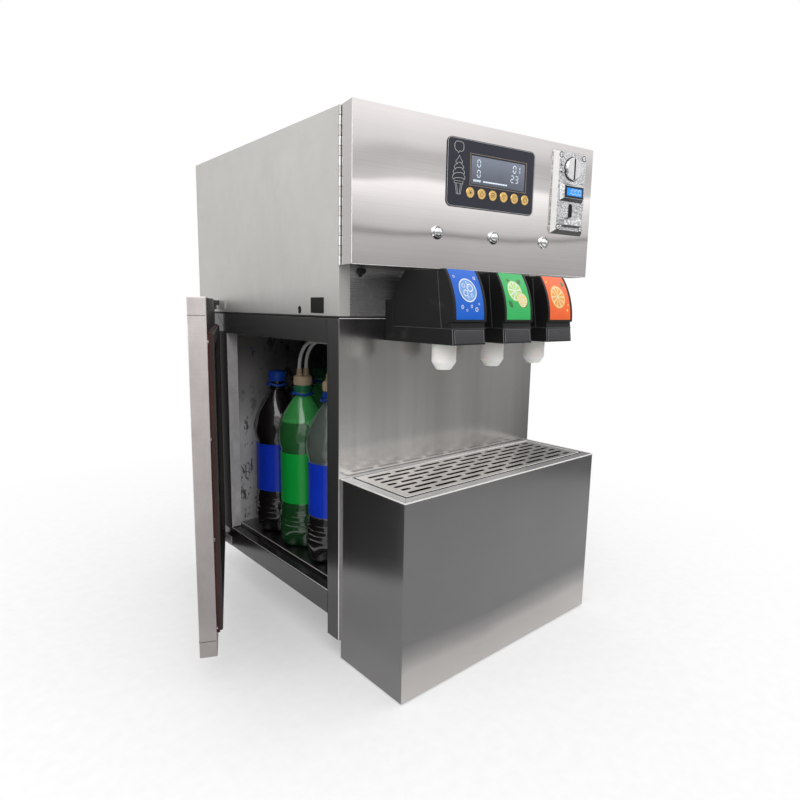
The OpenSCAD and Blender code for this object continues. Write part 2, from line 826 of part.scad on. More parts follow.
module inlet_body()
    block([inlet_x - inlet_w / 2 + inlet_edge_x, cabinet_d - inlet_depth, inlet_z - inlet_h / 2 + inlet_edge_z],
        [inlet_x + inlet_w / 2 - inlet_edge_x, cabinet_d + over, inlet_z + inlet_h / 2 - inlet_edge_z]);

module power_inlet() color("#181818") place() {
    difference() {
        union() {
            intersection() {
                inlet_body();
                block([0, 0, 0], [cabinet_w, cabinet_d + eps, top_z]);
            }
            block([inlet_x - inlet_w / 2, cabinet_d, inlet_z - inlet_h / 2],
                [inlet_x + inlet_w / 2, cabinet_d + inlet_t, inlet_z + inlet_h / 2]);
        }
        block([inlet_x - socket_w / 2, cabinet_d - socket_depth, inlet_z - socket_h / 2],
            [inlet_x + socket_w / 2, cabinet_d + inlet_t + over, inlet_z + socket_h / 2]);
    }
    for (i = [-1:1])
        translate([inlet_x + i * blade_step, 0, inlet_z + (i == 0 ? blade_w / 2 : -blade_h)])
            block([-blade_w / 2, cabinet_d - socket_depth - over, 0], [blade_w / 2, cabinet_d - blade_end, blade_h]);
}

// Cooling unit
module compressor() color("#1d1e20") place() translate([unit_mid_x, compressor_y, tray_top]) {
    r = compressor_d / 2;
    half = compressor_base / 2;
    foot = half - compressor_foot_edge;
    shell_z = compressor_foot_h + compressor_base_t;
    for (x = [-foot, foot], y = [-foot, foot])
        translate([x, y, 0]) cylinder(d = compressor_foot_d, h = compressor_foot_h);
    block([-half, -half, compressor_foot_h - eps], [half, half, shell_z]);
    rotate_extrude() {
        translate([0, shell_z - eps]) square([r, compressor_h - shell_z - compressor_dome_h + eps]);
        intersection() {
            translate([0, compressor_h - r - dome_flat]) circle(r + dome_flat);
            translate([0, compressor_h - compressor_dome_h - eps]) square([r, compressor_dome_h + over]);
        }
    }
}

module condenser() color("#b98a5a") place() {
    x = unit_mid_x - condenser_w / 2;
    t = end_plate_t;
    for (side = [0, condenser_w - t])
        block([x + side, condenser_front, tray_top],
            [x + side + t, condenser_front + condenser_t, tray_top + condenser_h]);
    for (i = [1:fin_count])
        translate([x + t + i * (condenser_w - 2 * t) / (fin_count + 1), condenser_front + t, tray_top + fin_end])
            cube([fin_t, condenser_t - 2 * t, condenser_h - 2 * fin_end]);
    for (i = [0:4])
        translate([x, condenser_front + condenser_t / 2, tray_top + coil_end + i * (condenser_h - 2 * coil_end) / 4])
            rotate([0, 90, 0]) cylinder(d = coil_d, h = condenser_w);
}

module fan_shroud() color("#2b2d30") place() {
    x = unit_mid_x - condenser_w / 2;
    difference() {
        union() {
            block([x, shroud_front, tray_top], [x + condenser_w, condenser_front, tray_top + condenser_h]);
            translate([unit_mid_x, shroud_front + eps, fan_mid_z]) rotate([90, 0, 0])
                cylinder(d = ring_d + 2 * ring_t, h = ring_l + eps);
        }
        translate([unit_mid_x, condenser_front + over, fan_mid_z]) rotate([90, 0, 0])
            cylinder(d = ring_d, h = ring_l + shroud_t + 3 * over);
    }
    block([unit_mid_x - ring_d / 2 - ring_t, bar_front, fan_mid_z - bar_w / 2],
        [unit_mid_x + ring_d / 2 + ring_t, bar_front + bar_t, fan_mid_z + bar_w / 2]);
    translate([unit_mid_x, bar_front + eps, fan_mid_z]) rotate([90, 0, 0]) cylinder(d = motor_d, h = motor_l);
    translate([unit_mid_x, fan_front + fan_l - fan_end, fan_mid_z]) rotate([90, 0, 0])
        cylinder(d = shaft_d, h = fan_l - fan_end + fan_front - bar_front);
}

module cooling_fan() color("#3c4046") place() translate([unit_mid_x, fan_front, fan_mid_z]) rotate([-90, 0, 0])
difference() {
    union() {
        cylinder(d = fan_hub_d, h = fan_l);
        intersection() {
            cylinder(d = fan_d, h = fan_l);
            for (i = [0:blade_count - 1])
                rotate(i * 360 / blade_count) translate([fan_hub_d / 2 - blade_in, 0, fan_l / 2])
                    rotate([blade_angle, 0, 0]) translate([0, -fan_blade_w / 2, -fan_blade_t / 2])
                        cube([fan_d / 2, fan_blade_w, fan_blade_t]);
        }
    }
    translate([0, 0, -over]) cylinder(d = shaft_d + 2 * pin_clear, h = fan_l + 2 * over);
}

// Valves
module valve_base(i) color("#101010") place() valve_place(i) {
    difference() {
        from_side(-valve_w / 2, valve_w) polygon([[0, 0], [-valve_d, 0], [-valve_d + kick_lean, kick_h],
            [-valve_d + kick_lean + 22, valve_joint_h], [-mount_d, valve_joint_h], [-mount_d, mount_h], [0, mount_h]]);
        translate([0, -nozzle_y, -over]) cylinder(d = nozzle_mouth_d - 4, h = 12 + over);
    }
}

module valve_side(r) intersection() {
    polygon([[-mount_d, valve_joint_h], [-valve_d + kick_lean + 22, valve_joint_h],
        [-valve_d + kick_lean, kick_h], [-valve_d - 10, kick_h], [-valve_d - 10, valve_h], [-mount_d, valve_h]]);
    translate([crown_y, crown_z]) circle(crown_r, $fn = 160);
    translate([-valve_d + face_r, face_rise]) circle(r, $fn = 160);
}

module valve_cover(i) color("#141414") place() valve_place(i) difference() {
    from_side(-valve_w / 2, valve_w) valve_side(face_r);
    from_side(-valve_w / 2 + face_edge, valve_w - 2 * face_edge) face_strip(face_r + over);
}

// The ring-shaped strip of the curved front that the face plate fills, out to a radius
module face_strip(r) intersection() {
    difference() {
        translate([-valve_d + face_r, face_rise]) circle(r, $fn = 160);
        translate([-valve_d + face_r, face_rise]) circle(face_r - plate_t - plate_sink, $fn = 160);
    }
    translate([-valve_d - 2 * over, kick_h + 3]) square([valve_d - mount_d, valve_h]);
}

module valve_plate(i) color(["#1c4fb0", "#2f9e4f", "#f0622b"][i]) place() valve_place(i)
    from_side(-valve_w / 2 + face_edge, valve_w - 2 * face_edge) intersection() {
        face_strip(face_r - plate_sink);
        translate([-valve_d, 0]) square([valve_d, valve_h]);
    }

module valve_nozzles() color("#f2f1ec") place() for (i = [0:2]) valve_place(i)
    translate([0, -nozzle_y, -nozzle_h]) rotate_extrude() difference() {
        polygon([[0, 0], [nozzle_mouth_d / 2, 0], [nozzle_d / 2, nozzle_taper_h], [nozzle_d / 2, nozzle_h],
            [0, nozzle_h]]);
        translate([0, -over]) square([nozzle_mouth_d / 2 - 2, nozzle_h + 2 * over]);
    }

// Bottles and tubes
module bottle() rotate_extrude() {
    r = bottle_d / 2;
    difference() {
        union() {
            translate([0, base_in]) square([r, shoulder_z - base_in]);
            intersection() {
                translate([r - base_r, base_r]) circle(base_r);
                square([r, base_r + base_in / 2]);
            }
            square([r - base_in, base_r + base_in / 2]);
        }
        translate([r + waist_r - waist_in, shoulder_z * 0.36]) circle(waist_r);
    }
    intersection() {
        translate([r - (bottle_h - shoulder_z) - shoulder_r, shoulder_z])
            circle(bottle_h - shoulder_z + shoulder_r);
        translate([0, shoulder_z - eps]) square([r, bottle_h - shoulder_z]);
    }
    translate([0, bottle_h - neck_h]) square([neck_d / 2, neck_h]);
    translate([0, bottle_h - neck_ring_down]) square([neck_d / 2 + neck_ring_w, neck_ring_h]);
}

module supply_bottles() color("#2f8f4a") place() for (b = bottle_places) translate(bottle_at(b)) {
    bottle();
    if (!b[2]) translate([0, 0, bottle_h - eps]) cylinder(d = cap_d - 1, h = cap_h);
}

module port_places(b) {
    for (side = [-1, 1]) translate(bottle_at(b) + [side * port_step / 2, 0, bottle_h + cap_h]) children();
}

module cap_connectors() color("#cdb48c") place() for (b = bottle_places) if (b[2]) {
    translate(bottle_at(b) + [0, 0, bottle_h]) cylinder(d = cap_d, h = cap_h);
    port_places(b) translate([0, 0, -eps]) cylinder(d = port_d, h = port_h + eps);
}

// A tube rises from its port, bends forwards and runs into the bay's front wall
module tube(y, bend) {
    $fn = 24;
    cylinder(d = tube_d, h = tube_rise);
    translate([0, -bend, tube_rise]) rotate([90, 0, 90]) rotate_extrude(angle = 90)
        translate([bend, 0]) circle(d = tube_d);
    translate([0, -bend, tube_rise + bend]) rotate([90, 0, 0]) cylinder(d = tube_d, h = y - bay_front - bend);
}

module drink_tubes() color("#e6e5df") place() for (b = bottle_places, side = [0, 1]) if (b[2]) {
    at = bottle_at(b);
    level = opening_top - tube_drop - (b[1] == 0 ? tube_level : 0);
    translate([at[0] + (side - 0.5) * port_step, at[1], port_z + port_h])
        tube(at[1], level - port_z - port_h - tube_rise);
}

// Lid, drawn closed
module lid_panel() color("#c6c6c4") lid_pose() difference() {
    block([0, lid_front, lid_low_z], [cabinet_w, -lid_gap, lid_top_z]);
    block([sheet_t, lid_back, lid_low_z + sheet_t], [cabinet_w - sheet_t, over, lid_top_z - sheet_t]);
    block([-over, lid_axis_y - lid_knuckle_r - knuckle_gap, lid_low_z - over],
        [3 * lid_knuckle_r, over, lid_top_z + over]);
    block([overlay_x + cut_edge, lid_front - over, overlay_z + cut_edge],
        [overlay_x + overlay_w - cut_edge, lid_back + over, overlay_z + overlay_h - cut_edge]);
    block([coin_x + mech_edge - pin_clear, lid_front - over, coin_z + mech_edge - pin_clear],
        [coin_x + coin_w - mech_edge + pin_clear, lid_back + over, coin_z + coin_h - mech_edge + pin_clear]);
    for (i = [0:2])
        button_place(i) facing(lid_back + over) cylinder(d = barrel_d + 2 * pin_clear, h = sheet_t + 2 * over);
}

// Knuckles of one half of the lid's hinge, every second one
module lid_knuckle_row(first) {
    for (i = [first:2:lid_knuckles - 1])
        translate([0, lid_axis_y, lid_low_z + i * knuckle_l + knuckle_gap / 2])
            cylinder(r = lid_knuckle_r, h = knuckle_l - knuckle_gap);
}

// The zones that the other half's knuckles need
module lid_knuckle_room(first, low_x, high_x, low_y) {
    for (i = [first:2:lid_knuckles - 1])
        block([low_x, low_y, lid_low_z + i * knuckle_l - knuckle_gap / 2],
            [high_x, over, lid_low_z + (i + 1) * knuckle_l + knuckle_gap / 2]);
}

module lid_hinge_fixed() color("#d2d2d0") place() {
    difference() {
        block([0, -lid_leaf_t, lid_low_z + sheet_t + knuckle_gap], [lid_leaf_w, 0, lid_top_z - sheet_t - knuckle_gap]);
        lid_knuckle_room(1, -over, lid_knuckle_r + knuckle_gap, lid_front);
    }
    lid_knuckle_row(0);
    translate([0, lid_axis_y, lid_low_z + knuckle_gap]) cylinder(d = lid_pin_d, h = lid_h - 2 * knuckle_gap);
}

module lid_hinge_moving() color("#d2d2d0") lid_pose() {
    edge = lid_axis_y - lid_knuckle_r - knuckle_gap;
    difference() {
        union() {
            block([sheet_t, edge - lid_leaf_w, lid_low_z + sheet_t], [sheet_t + lid_leaf_t, edge, lid_top_z - sheet_t]);
            block([sheet_t, edge - over, lid_low_z + sheet_t], [lid_knuckle_r, lid_axis_y, lid_top_z - sheet_t]);
            lid_knuckle_row(1);
        }
        translate([0, lid_axis_y, lid_low_z - over]) cylinder(d = lid_pin_d + 2 * pin_clear, h = lid_h + 2 * over);
        lid_knuckle_room(0, -over * 9, over * 9, edge);
    }
}

module control_overlay() color("#17181b") lid_pose() difference() {
    facing(lid_front) translate([overlay_x, overlay_z]) linear_extrude(overlay_t)
        round_rect([overlay_w, overlay_h], overlay_r);
    block([overlay_x + window_x, lid_front - overlay_t - over, overlay_z + window_up],
        [overlay_x + window_x + window_w, lid_front + over, overlay_z + window_up + window_h]);
    key_places() facing(lid_front + over) cylinder(d = key_d + 2 * key_clear, h = overlay_t + 2 * over);
}

module display_window() color("#5f6b7c") lid_pose()
    block([overlay_x + window_x, lid_front - overlay_t / 2, overlay_z + window_up],
        [overlay_x + window_x + window_w, board_front, overlay_z + window_up + window_h]);

module control_board() color("#1f6b3a") lid_pose() {
    block([overlay_x + board_edge / 2, board_front, overlay_z + board_edge / 2],
        [overlay_x + overlay_w - board_edge / 2, board_front + board_t, overlay_z + overlay_h - board_edge / 2]);
    for (x = [board_edge, overlay_w - board_edge], z = [board_edge, overlay_h - board_edge])
        translate([overlay_x + x, 0, overlay_z + z]) facing(board_front + eps)
            cylinder(d = standoff_d, h = board_back + eps);
}

module key(i) color("#c9a24c") lid_pose() key_place(i) facing(board_front - key_travel - 0.2) {
    l = board_front - key_travel - 0.2 - lid_front + overlay_t + key_proud;
    cylinder(d = key_d, h = l - 0.5);
    translate([0, 0, l - 0.5 - eps]) cylinder(d1 = key_d, d2 = key_d - 1, h = 0.5 + eps);
}

module button_sockets() color("#cfcfcf") lid_pose() for (i = [0:2]) button_place(i) facing(0) {
    bore_r = plunger_d / 2 + plunger_clear;
    rotate_extrude() polygon([[bore_r, lid_t], [button_rim_d / 2, lid_t], [button_rim_d / 2, lid_t + 1],
        [button_rim_d / 2 - 1.2, lid_t + button_rim_h - 1], [bore_r + 0.4, lid_t + button_rim_h],
        [bore_r, lid_t + button_rim_h]]);
    rotate_extrude() polygon([[0, lid_t - barrel_l], [barrel_d / 2, lid_t - barrel_l], [barrel_d / 2, lid_t + eps],
        [bore_r, lid_t + eps], [bore_r, lid_t - barrel_l + 6], [0, lid_t - barrel_l + 6]]);
}

module push_button(i) color("#d9d9d9") lid_pose() button_place(i) facing(0) {
    r = plunger_d / 2;
    dome_r = (r * r + dome_h * dome_h) / (2 * dome_h);
    low = lid_t - barrel_l + 6 + button_travel + 0.5;
    top = lid_t + button_rim_h;
    rotate_extrude() {
        translate([0, low]) square([r, top - low]);
        intersection() {
            translate([0, top + dome_h - dome_r]) circle(dome_r);
            translate([0, top - eps]) square([r, dome_h + over]);
        }
    }
}

// A bevelled plate: a profile across its width met by a profile along its height
module coin_blank() intersection() {
    translate([0, 0, coin_z]) linear_extrude(coin_h) polygon([[coin_x, lid_front], [coin_x + coin_w, lid_front],
        [coin_x + coin_w, lid_front - 2], [coin_x + coin_w - coin_bevel, coin_front], [coin_x + coin_bevel, coin_front],
        [coin_x, lid_front - 2]]);
    from_side(coin_x, coin_w) polygon([[lid_front, coin_z], [lid_front, coin_z + coin_h],
        [lid_front - 2, coin_z + coin_h], [coin_front, coin_z + coin_h - coin_bevel],
        [coin_front, coin_z + coin_bevel], [lid_front - 2, coin_z]]);
}

// The raised block that carries the label, sloped on all four sides
module label_block() intersection() {
    low = coin_z + label_up - label_h / 2;
    half = label_w / 2;
    translate([0, 0, coin_z]) linear_extrude(coin_h) polygon([[coin_mid - half - label_slope, coin_front + eps],
        [coin_mid + half + label_slope, coin_front + eps], [coin_mid + half, coin_front - label_proud],
        [coin_mid - half, coin_front - label_proud]]);
    from_side(coin_x, coin_w) polygon([[coin_front + eps, low - label_slope],
        [coin_front + eps, low + label_h + label_slope], [coin_front - label_proud, low + label_h],
        [coin_front - label_proud, low]]);
}

module coin_plate() color("#bfc1c4") lid_pose() difference() {
    union() {
        coin_blank();
        label_block();
        from_side(coin_mid - 18, 36) polygon([[coin_front + eps, coin_z + 24], [coin_front - 2, coin_z + 24],
            [coin_front - 7, coin_z + 20], [coin_front - 7, coin_z + 12], [coin_front + eps, coin_z + 10]]);
    }
    translate([coin_mid, 0, knob_z]) {
        facing(coin_front + knob_seat) cylinder(d = knob_d + 2 * knob_clear, h = knob_seat + over);
        facing(lid_front + over) cylinder(d = journal_d + 2 * journal_clear, h = coin_t + over);
    }
    facing(lid_front - 3) translate([coin_mid, coin_z + return_up]) linear_extrude(coin_t) {
        translate([0, return_h - return_w / 2]) circle(d = return_w);
        translate([-return_w / 2, 0]) square([return_w, return_h - return_w / 2]);
    }
}

module coin_return_knob() color("#d0d1d3") lid_pose() translate([coin_mid, 0, knob_z]) difference() {
    union() {
        facing(coin_front + knob_seat - knob_clear) {
            cylinder(d = knob_d, h = knob_seat - knob_clear + knob_proud - 1.5);
            translate([0, 0, knob_seat - knob_clear + knob_proud - 1.5 - eps])
                cylinder(d1 = knob_d, d2 = knob_d - 3, h = 1.5 + eps);
        }
        facing(lid_front - knob_clear) cylinder(d = journal_d, h = coin_t - knob_seat);
    }
    block([-slit_w / 2, coin_front - 20, -slit_l / 2], [slit_w / 2, lid_front + over, slit_l / 2]);
    block([-slit_w / 2, coin_front - 20, -knob_d], [slit_w / 2, coin_front - knob_proud + knob_groove, knob_d]);
}

module coin_mech() color("#232427") lid_pose() difference() {
    block([coin_x + mech_edge, lid_front, coin_z + mech_edge],
        [coin_x + coin_w - mech_edge, lid_front + mech_d, coin_z + coin_h - mech_edge]);
    block([coin_mid - slit_w / 2 - 0.2, lid_front - over, knob_z - slit_l / 2 - 0.5],
        [coin_mid + slit_w / 2 + 0.2, lid_front + mech_d - 10, knob_z + slit_l / 2 + 0.5]);
}

// Door, drawn closed
module door_skin() color("#c9c5c2") door_pose() difference() {
    block([door_outer_x, door_front, door_low_z], [door_inner_x, door_axis_y, door_top_z]);
    block([door_outer_x + sheet_t, door_front + sheet_t, door_low_z + sheet_t],
        [door_inner_x + over, door_axis_y - sheet_t, door_top_z - sheet_t]);
}

module door_inner_panel() color("#8d8d8b") door_pose() {
    block([door_inner_x - sheet_t, door_front + sheet_t, door_low_z + sheet_t],
        [door_inner_x, door_axis_y - sheet_t, door_top_z - sheet_t]);
    block([door_inner_x - eps, catch_y + strike_in, hood_low + strike_up],
        [-strike_gap, catch_y + catch_l - strike_in, door_top_z - sheet_t]);
    for (z = door_hinge_zs) door_leaf(z);
}

// The door's half of a hinge: the upper knuckle
module door_leaf(z) {
    mid = z + door_hinge_l / 2 + knuckle_gap / 2;
    difference() {
        union() {
            block([door_inner_x - eps, door_axis_y - door_leaf_l, z],
                [door_inner_x + door_leaf_t, door_axis_y - door_knuckle_r - knuckle_gap, z + door_hinge_l]);
            block([door_inner_x - eps, door_axis_y - door_knuckle_r - over, mid],
                [door_axis_x, door_axis_y, z + door_hinge_l]);
            translate([door_axis_x, door_axis_y, mid]) cylinder(r = door_knuckle_r, h = z + door_hinge_l - mid);
        }
        translate([door_axis_x, door_axis_y, z - over])
            cylinder(d = door_pin_d + 2 * pin_clear, h = door_hinge_l + 2 * over);
    }
}

module door_hinge_fixed() color("#cccccb") place() for (z = door_hinge_zs) {
    mid = z + door_hinge_l / 2 - knuckle_gap / 2;
    difference() {
        block([-door_leaf_t, door_axis_y - strap_front, z], [0, door_axis_y + strap_back, z + door_hinge_l]);
        block([-10, door_axis_y - door_knuckle_r - knuckle_gap, mid],
            [over, door_axis_y + door_knuckle_r + knuckle_gap, z + door_hinge_l + over]);
    }
    translate([door_axis_x, door_axis_y, z]) {
        cylinder(r = door_knuckle_r, h = mid - z);
        cylinder(d = door_pin_d, h = door_hinge_l);
    }
    block([door_axis_x, door_axis_y - door_pin_d / 2, z], [0, door_axis_y + door_knuckle_r, mid]);
}

module door_gasket() color("#3b2320") door_pose() difference() {
    block([door_inner_x, gasket_front, gasket_low], [-gasket_gap, gasket_back, gasket_top]);
    block([door_inner_x - over, gasket_front + gasket_w, gasket_low + gasket_w],
        [over, gasket_back - gasket_w, gasket_top - gasket_w]);
}

base_tray();
rubber_feet();
side_frame();
splash_panel();
right_panel();
back_panel();
bay_liner();
bay_floor();
drip_box();
drip_grate();
hood();
hood_back();
head_deck();
front_bulkhead();
lid_hinge_fixed();
door_hinge_fixed();
door_catch();
valve_base(0);  // valve_base_1
valve_base(1);  // valve_base_2
valve_base(2);  // valve_base_3
valve_cover(0);  // valve_cover_1
valve_cover(1);  // valve_cover_2
valve_cover(2);  // valve_cover_3
valve_plate(0);  // valve_plate_1
valve_plate(1);  // valve_plate_2
valve_plate(2);  // valve_plate_3
valve_nozzles();
supply_bottles();
cap_connectors();
drink_tubes();
compressor();
condenser();
fan_shroud();
cooling_fan();
chiller_tank();
air_pump();
power_supply();
coin_box();
power_inlet();
lid_panel();
lid_hinge_moving();
control_overlay();
display_window();
control_board();
button_sockets();
coin_plate();
coin_mech();
coin_return_knob();
key(0);  // key_1
key(1);  // key_2
key(2);  // key_3
key(3);  // key_4
key(4);  // key_5
key(5);  // key_6
push_button(0);  // push_button_1
push_button(1);  // push_button_2
push_button(2);  // push_button_3
door_skin();
door_inner_panel();
door_gasket();
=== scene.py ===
"""Looks of a counter-top drinks dispenser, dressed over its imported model.

Every piece is drawn in the builder's millimetres, from the cabinet's front left corner with the
lid and the door closed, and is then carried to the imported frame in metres.
"""

import json
import logging
import math
from collections.abc import Callable, Iterable, Sequence
from dataclasses import dataclass, field
from enum import Enum
from typing import ClassVar

import bmesh
import bpy
from mathutils import Matrix, Vector

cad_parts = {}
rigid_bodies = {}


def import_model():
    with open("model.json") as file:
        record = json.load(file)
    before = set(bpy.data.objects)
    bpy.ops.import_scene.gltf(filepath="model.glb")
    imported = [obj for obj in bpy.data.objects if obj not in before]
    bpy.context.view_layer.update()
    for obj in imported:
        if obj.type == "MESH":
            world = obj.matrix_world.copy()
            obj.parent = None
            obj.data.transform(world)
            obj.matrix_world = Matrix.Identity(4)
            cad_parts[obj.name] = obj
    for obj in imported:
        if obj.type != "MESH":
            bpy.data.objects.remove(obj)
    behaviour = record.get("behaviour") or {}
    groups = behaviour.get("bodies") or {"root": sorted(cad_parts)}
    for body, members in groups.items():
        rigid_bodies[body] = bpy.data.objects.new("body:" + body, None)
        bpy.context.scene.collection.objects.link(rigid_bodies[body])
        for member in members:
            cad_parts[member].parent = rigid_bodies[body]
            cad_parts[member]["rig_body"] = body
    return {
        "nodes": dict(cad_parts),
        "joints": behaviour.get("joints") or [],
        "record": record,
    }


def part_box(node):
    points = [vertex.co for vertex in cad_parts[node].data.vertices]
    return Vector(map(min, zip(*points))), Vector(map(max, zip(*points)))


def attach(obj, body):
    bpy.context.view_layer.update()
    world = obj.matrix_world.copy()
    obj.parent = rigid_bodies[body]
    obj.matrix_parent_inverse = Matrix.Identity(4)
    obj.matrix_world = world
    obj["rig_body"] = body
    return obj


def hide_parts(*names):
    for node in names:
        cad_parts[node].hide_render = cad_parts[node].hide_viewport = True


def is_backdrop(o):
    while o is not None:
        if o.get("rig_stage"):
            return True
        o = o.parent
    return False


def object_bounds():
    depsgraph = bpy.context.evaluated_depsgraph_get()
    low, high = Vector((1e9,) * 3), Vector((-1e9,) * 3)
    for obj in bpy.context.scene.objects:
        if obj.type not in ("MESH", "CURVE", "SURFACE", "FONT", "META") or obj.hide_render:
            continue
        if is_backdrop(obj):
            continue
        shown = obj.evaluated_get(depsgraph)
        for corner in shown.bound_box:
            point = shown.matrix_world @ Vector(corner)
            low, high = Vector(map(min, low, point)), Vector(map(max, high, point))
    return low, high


logging.basicConfig(level=logging.INFO, format="%(name)s: %(message)s")
LOG = logging.getLogger("dispenser")

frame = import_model()
CAD_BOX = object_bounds()

Colour = tuple[float, float, float]
Point = tuple[float, float, float]
Pair = tuple[float, float]
Profile = tuple[Pair, ...]
Spot = tuple[Point, Point]
OnFace = Callable[[float, float], Point]
Material = bpy.types.Material
Mesh = bpy.types.Mesh
Node = bpy.types.Node
Object = bpy.types.Object
Socket = bpy.types.NodeSocket
MM = 0.001  # a millimetre in metres
MERGE = 0.0005  # distance at which points are joined, in millimetres
SHARP = 32.0  # least angle of an edge that is rounded or stays sharp, in degrees
STEPS = 2  # steps in a rounded edge


class Body(Enum):
    """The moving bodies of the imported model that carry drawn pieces."""

    CABINET = "cabinet"
    LID = "lid"
    DOOR = "door"
    GRATE = "drip_grate"
    KNOB = "coin_return_knob"


class Form(Enum):
    """Small shapes that are set in rows by the field tree."""

    SCREW = "screw"
    CROSS = "cross"
    RIB = "rib"
    DOT = "dot"


class Pet(Enum):
    """What a supply bottle holds, which sets its plastic and its label."""

    COLA = "cola"
    LIME = "lime"
    LOW = "low"


# ---------------------------------------------------------------- places


@dataclass(frozen=True)
class Place:
    """Carries builder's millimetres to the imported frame.

    Attributes:
        corner: The cabinet's front left corner at floor level, in metres.
        lid_ajar: Angle that the lid stands open, in degrees.
        door_ajar: Angle that the door stands open, in degrees.
        lid_axis: The lid's hinge axis, in millimetres.
        door_axis: The door's hinge axis, in millimetres.
    """

    corner: Vector
    lid_ajar: float
    door_ajar: float
    lid_axis: Pair = (0.0, -2.9)
    door_axis: Pair = (-4.0, 372.0)

    def turn(self, axis: Pair, angle: float) -> Matrix:
        """The turn about an upright axis that opens a leaf.

        Args:
            axis: The axis in millimetres.
            angle: The opening angle in degrees.

        Returns:
            The turn as a matrix in millimetres.
        """
        there = Matrix.Translation((axis[0], axis[1], 0))
        return there @ Matrix.Rotation(-math.radians(angle), 4, "Z") @ there.inverted()

    def matrix(self, body: str) -> Matrix:
        """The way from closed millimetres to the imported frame.

        Args:
            body: Name of the body that carries the piece.

        Returns:
            The matrix for that body's pieces.
        """
        base = Matrix.Translation(self.corner) @ Matrix.Scale(MM, 4)
        if body == Body.DOOR.value:
            return base @ self.turn(self.door_axis, self.door_ajar)
        if body in (Body.CABINET.value, Body.GRATE.value):
            return base
        return base @ self.turn(self.lid_axis, self.lid_ajar)


def rest_angle(joint: str) -> float:
    """How far a leaf stands open at rest, in degrees."""
    for row in frame["joints"]:
        if row["name"] == joint:
            return abs(row["range_deg"][0])
    raise KeyError(joint)


HOOD_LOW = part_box("hood")[0]
PLACE = Place(Vector((HOOD_LOW.x, HOOD_LOW.y, 0.0)), rest_angle("lid_hinge"), rest_angle("door_hinge"))
FRONT = Matrix(((1, 0, 0, 0), (0, 0, -1, 0), (0, 1, 0, 0), (0, 0, 0, 1)))


# ---------------------------------------------------------------- node materials


class Nodes:
    """A node tree while its nodes are being laid out."""

    def __init__(self, tree: bpy.types.NodeTree) -> None:
        """Takes the tree that the nodes go into."""
        self.tree = tree

    def feed(self, socket: Socket, value: object) -> None:
        """Links a socket or sets its value.

        Args:
            socket: The input to feed.
            value: Another socket, or a plain value.
        """
        if isinstance(value, Socket):
            self.tree.links.new(value, socket)
        else:
            socket.default_value = value

    def add(self, kind: str, inputs: dict[str | int, object], **settings: object) -> Node:
        """Adds a node.

        Args:
            kind: The node's type name.
            inputs: Values or sockets by input name or index.
            settings: The node's own properties.

        Returns:
            The new node.
        """
        node = self.tree.nodes.new(kind)
        for key, value in settings.items():
            setattr(node, key, value)
        for key, value in inputs.items():
            self.feed(node.inputs[key], value)
        return node

    def calc(self, step: str, a: object, b: object = 0.0) -> Socket:
        """One arithmetic step on two sockets or numbers."""
        return self.add("ShaderNodeMath", {0: a, 1: b}, operation=step).outputs[0]

    def ramp(self, factor: object, *stops: tuple[float, float | Colour]) -> Socket:
        """A colour ramp.

        Args:
            factor: The socket that runs along the ramp.
            stops: Positions with a grey or a colour each.

        Returns:
            The colour socket.
        """
        node = self.add("ShaderNodeValToRGB", {"Fac": factor})
        bar = node.color_ramp.elements
        while len(bar) < len(stops):
            bar.new(0.5)
        for item, (where, tint) in zip(bar, stops, strict=True):
            item.position = where
            shade = (tint, tint, tint) if isinstance(tint, (int, float)) else tint
            item.color = (*shade, 1.0)
        return node.outputs["Color"]

    def blend(self, factor: object, a: object, b: object, mode: str = "MIX") -> Socket:
        """Mixes two colours.

        Args:
            factor: Share of the second colour.
            a: First colour.
            b: Second colour.
            mode: Blend mode.

        Returns:
            The colour socket.
        """
        node = self.tree.nodes.new("ShaderNodeMix")
        node.data_type = "RGBA"
        node.blend_type = mode
        self.feed(node.inputs[0], factor)
        for index, tint in ((6, a), (7, b)):
            self.feed(node.inputs[index], (*tint, 1.0) if isinstance(tint, tuple) and len(tint) == 3 else tint)
        return node.outputs[2]

    def tint(self, colour: object, factor: object) -> Socket:
        """One colour times another."""
        return self.blend(1.0, colour, factor, "MULTIPLY")

    def vary(self, base: object, pattern: object, share: float) -> Socket:
        """A number with a share of a pattern added to it."""
        return self.calc("ADD", base, self.calc("MULTIPLY", pattern, share))

    def split(self, vector: Socket) -> tuple[Socket, ...]:
        """The three parts of a vector."""
        return tuple(self.add("ShaderNodeSeparateXYZ", {0: vector}).outputs)


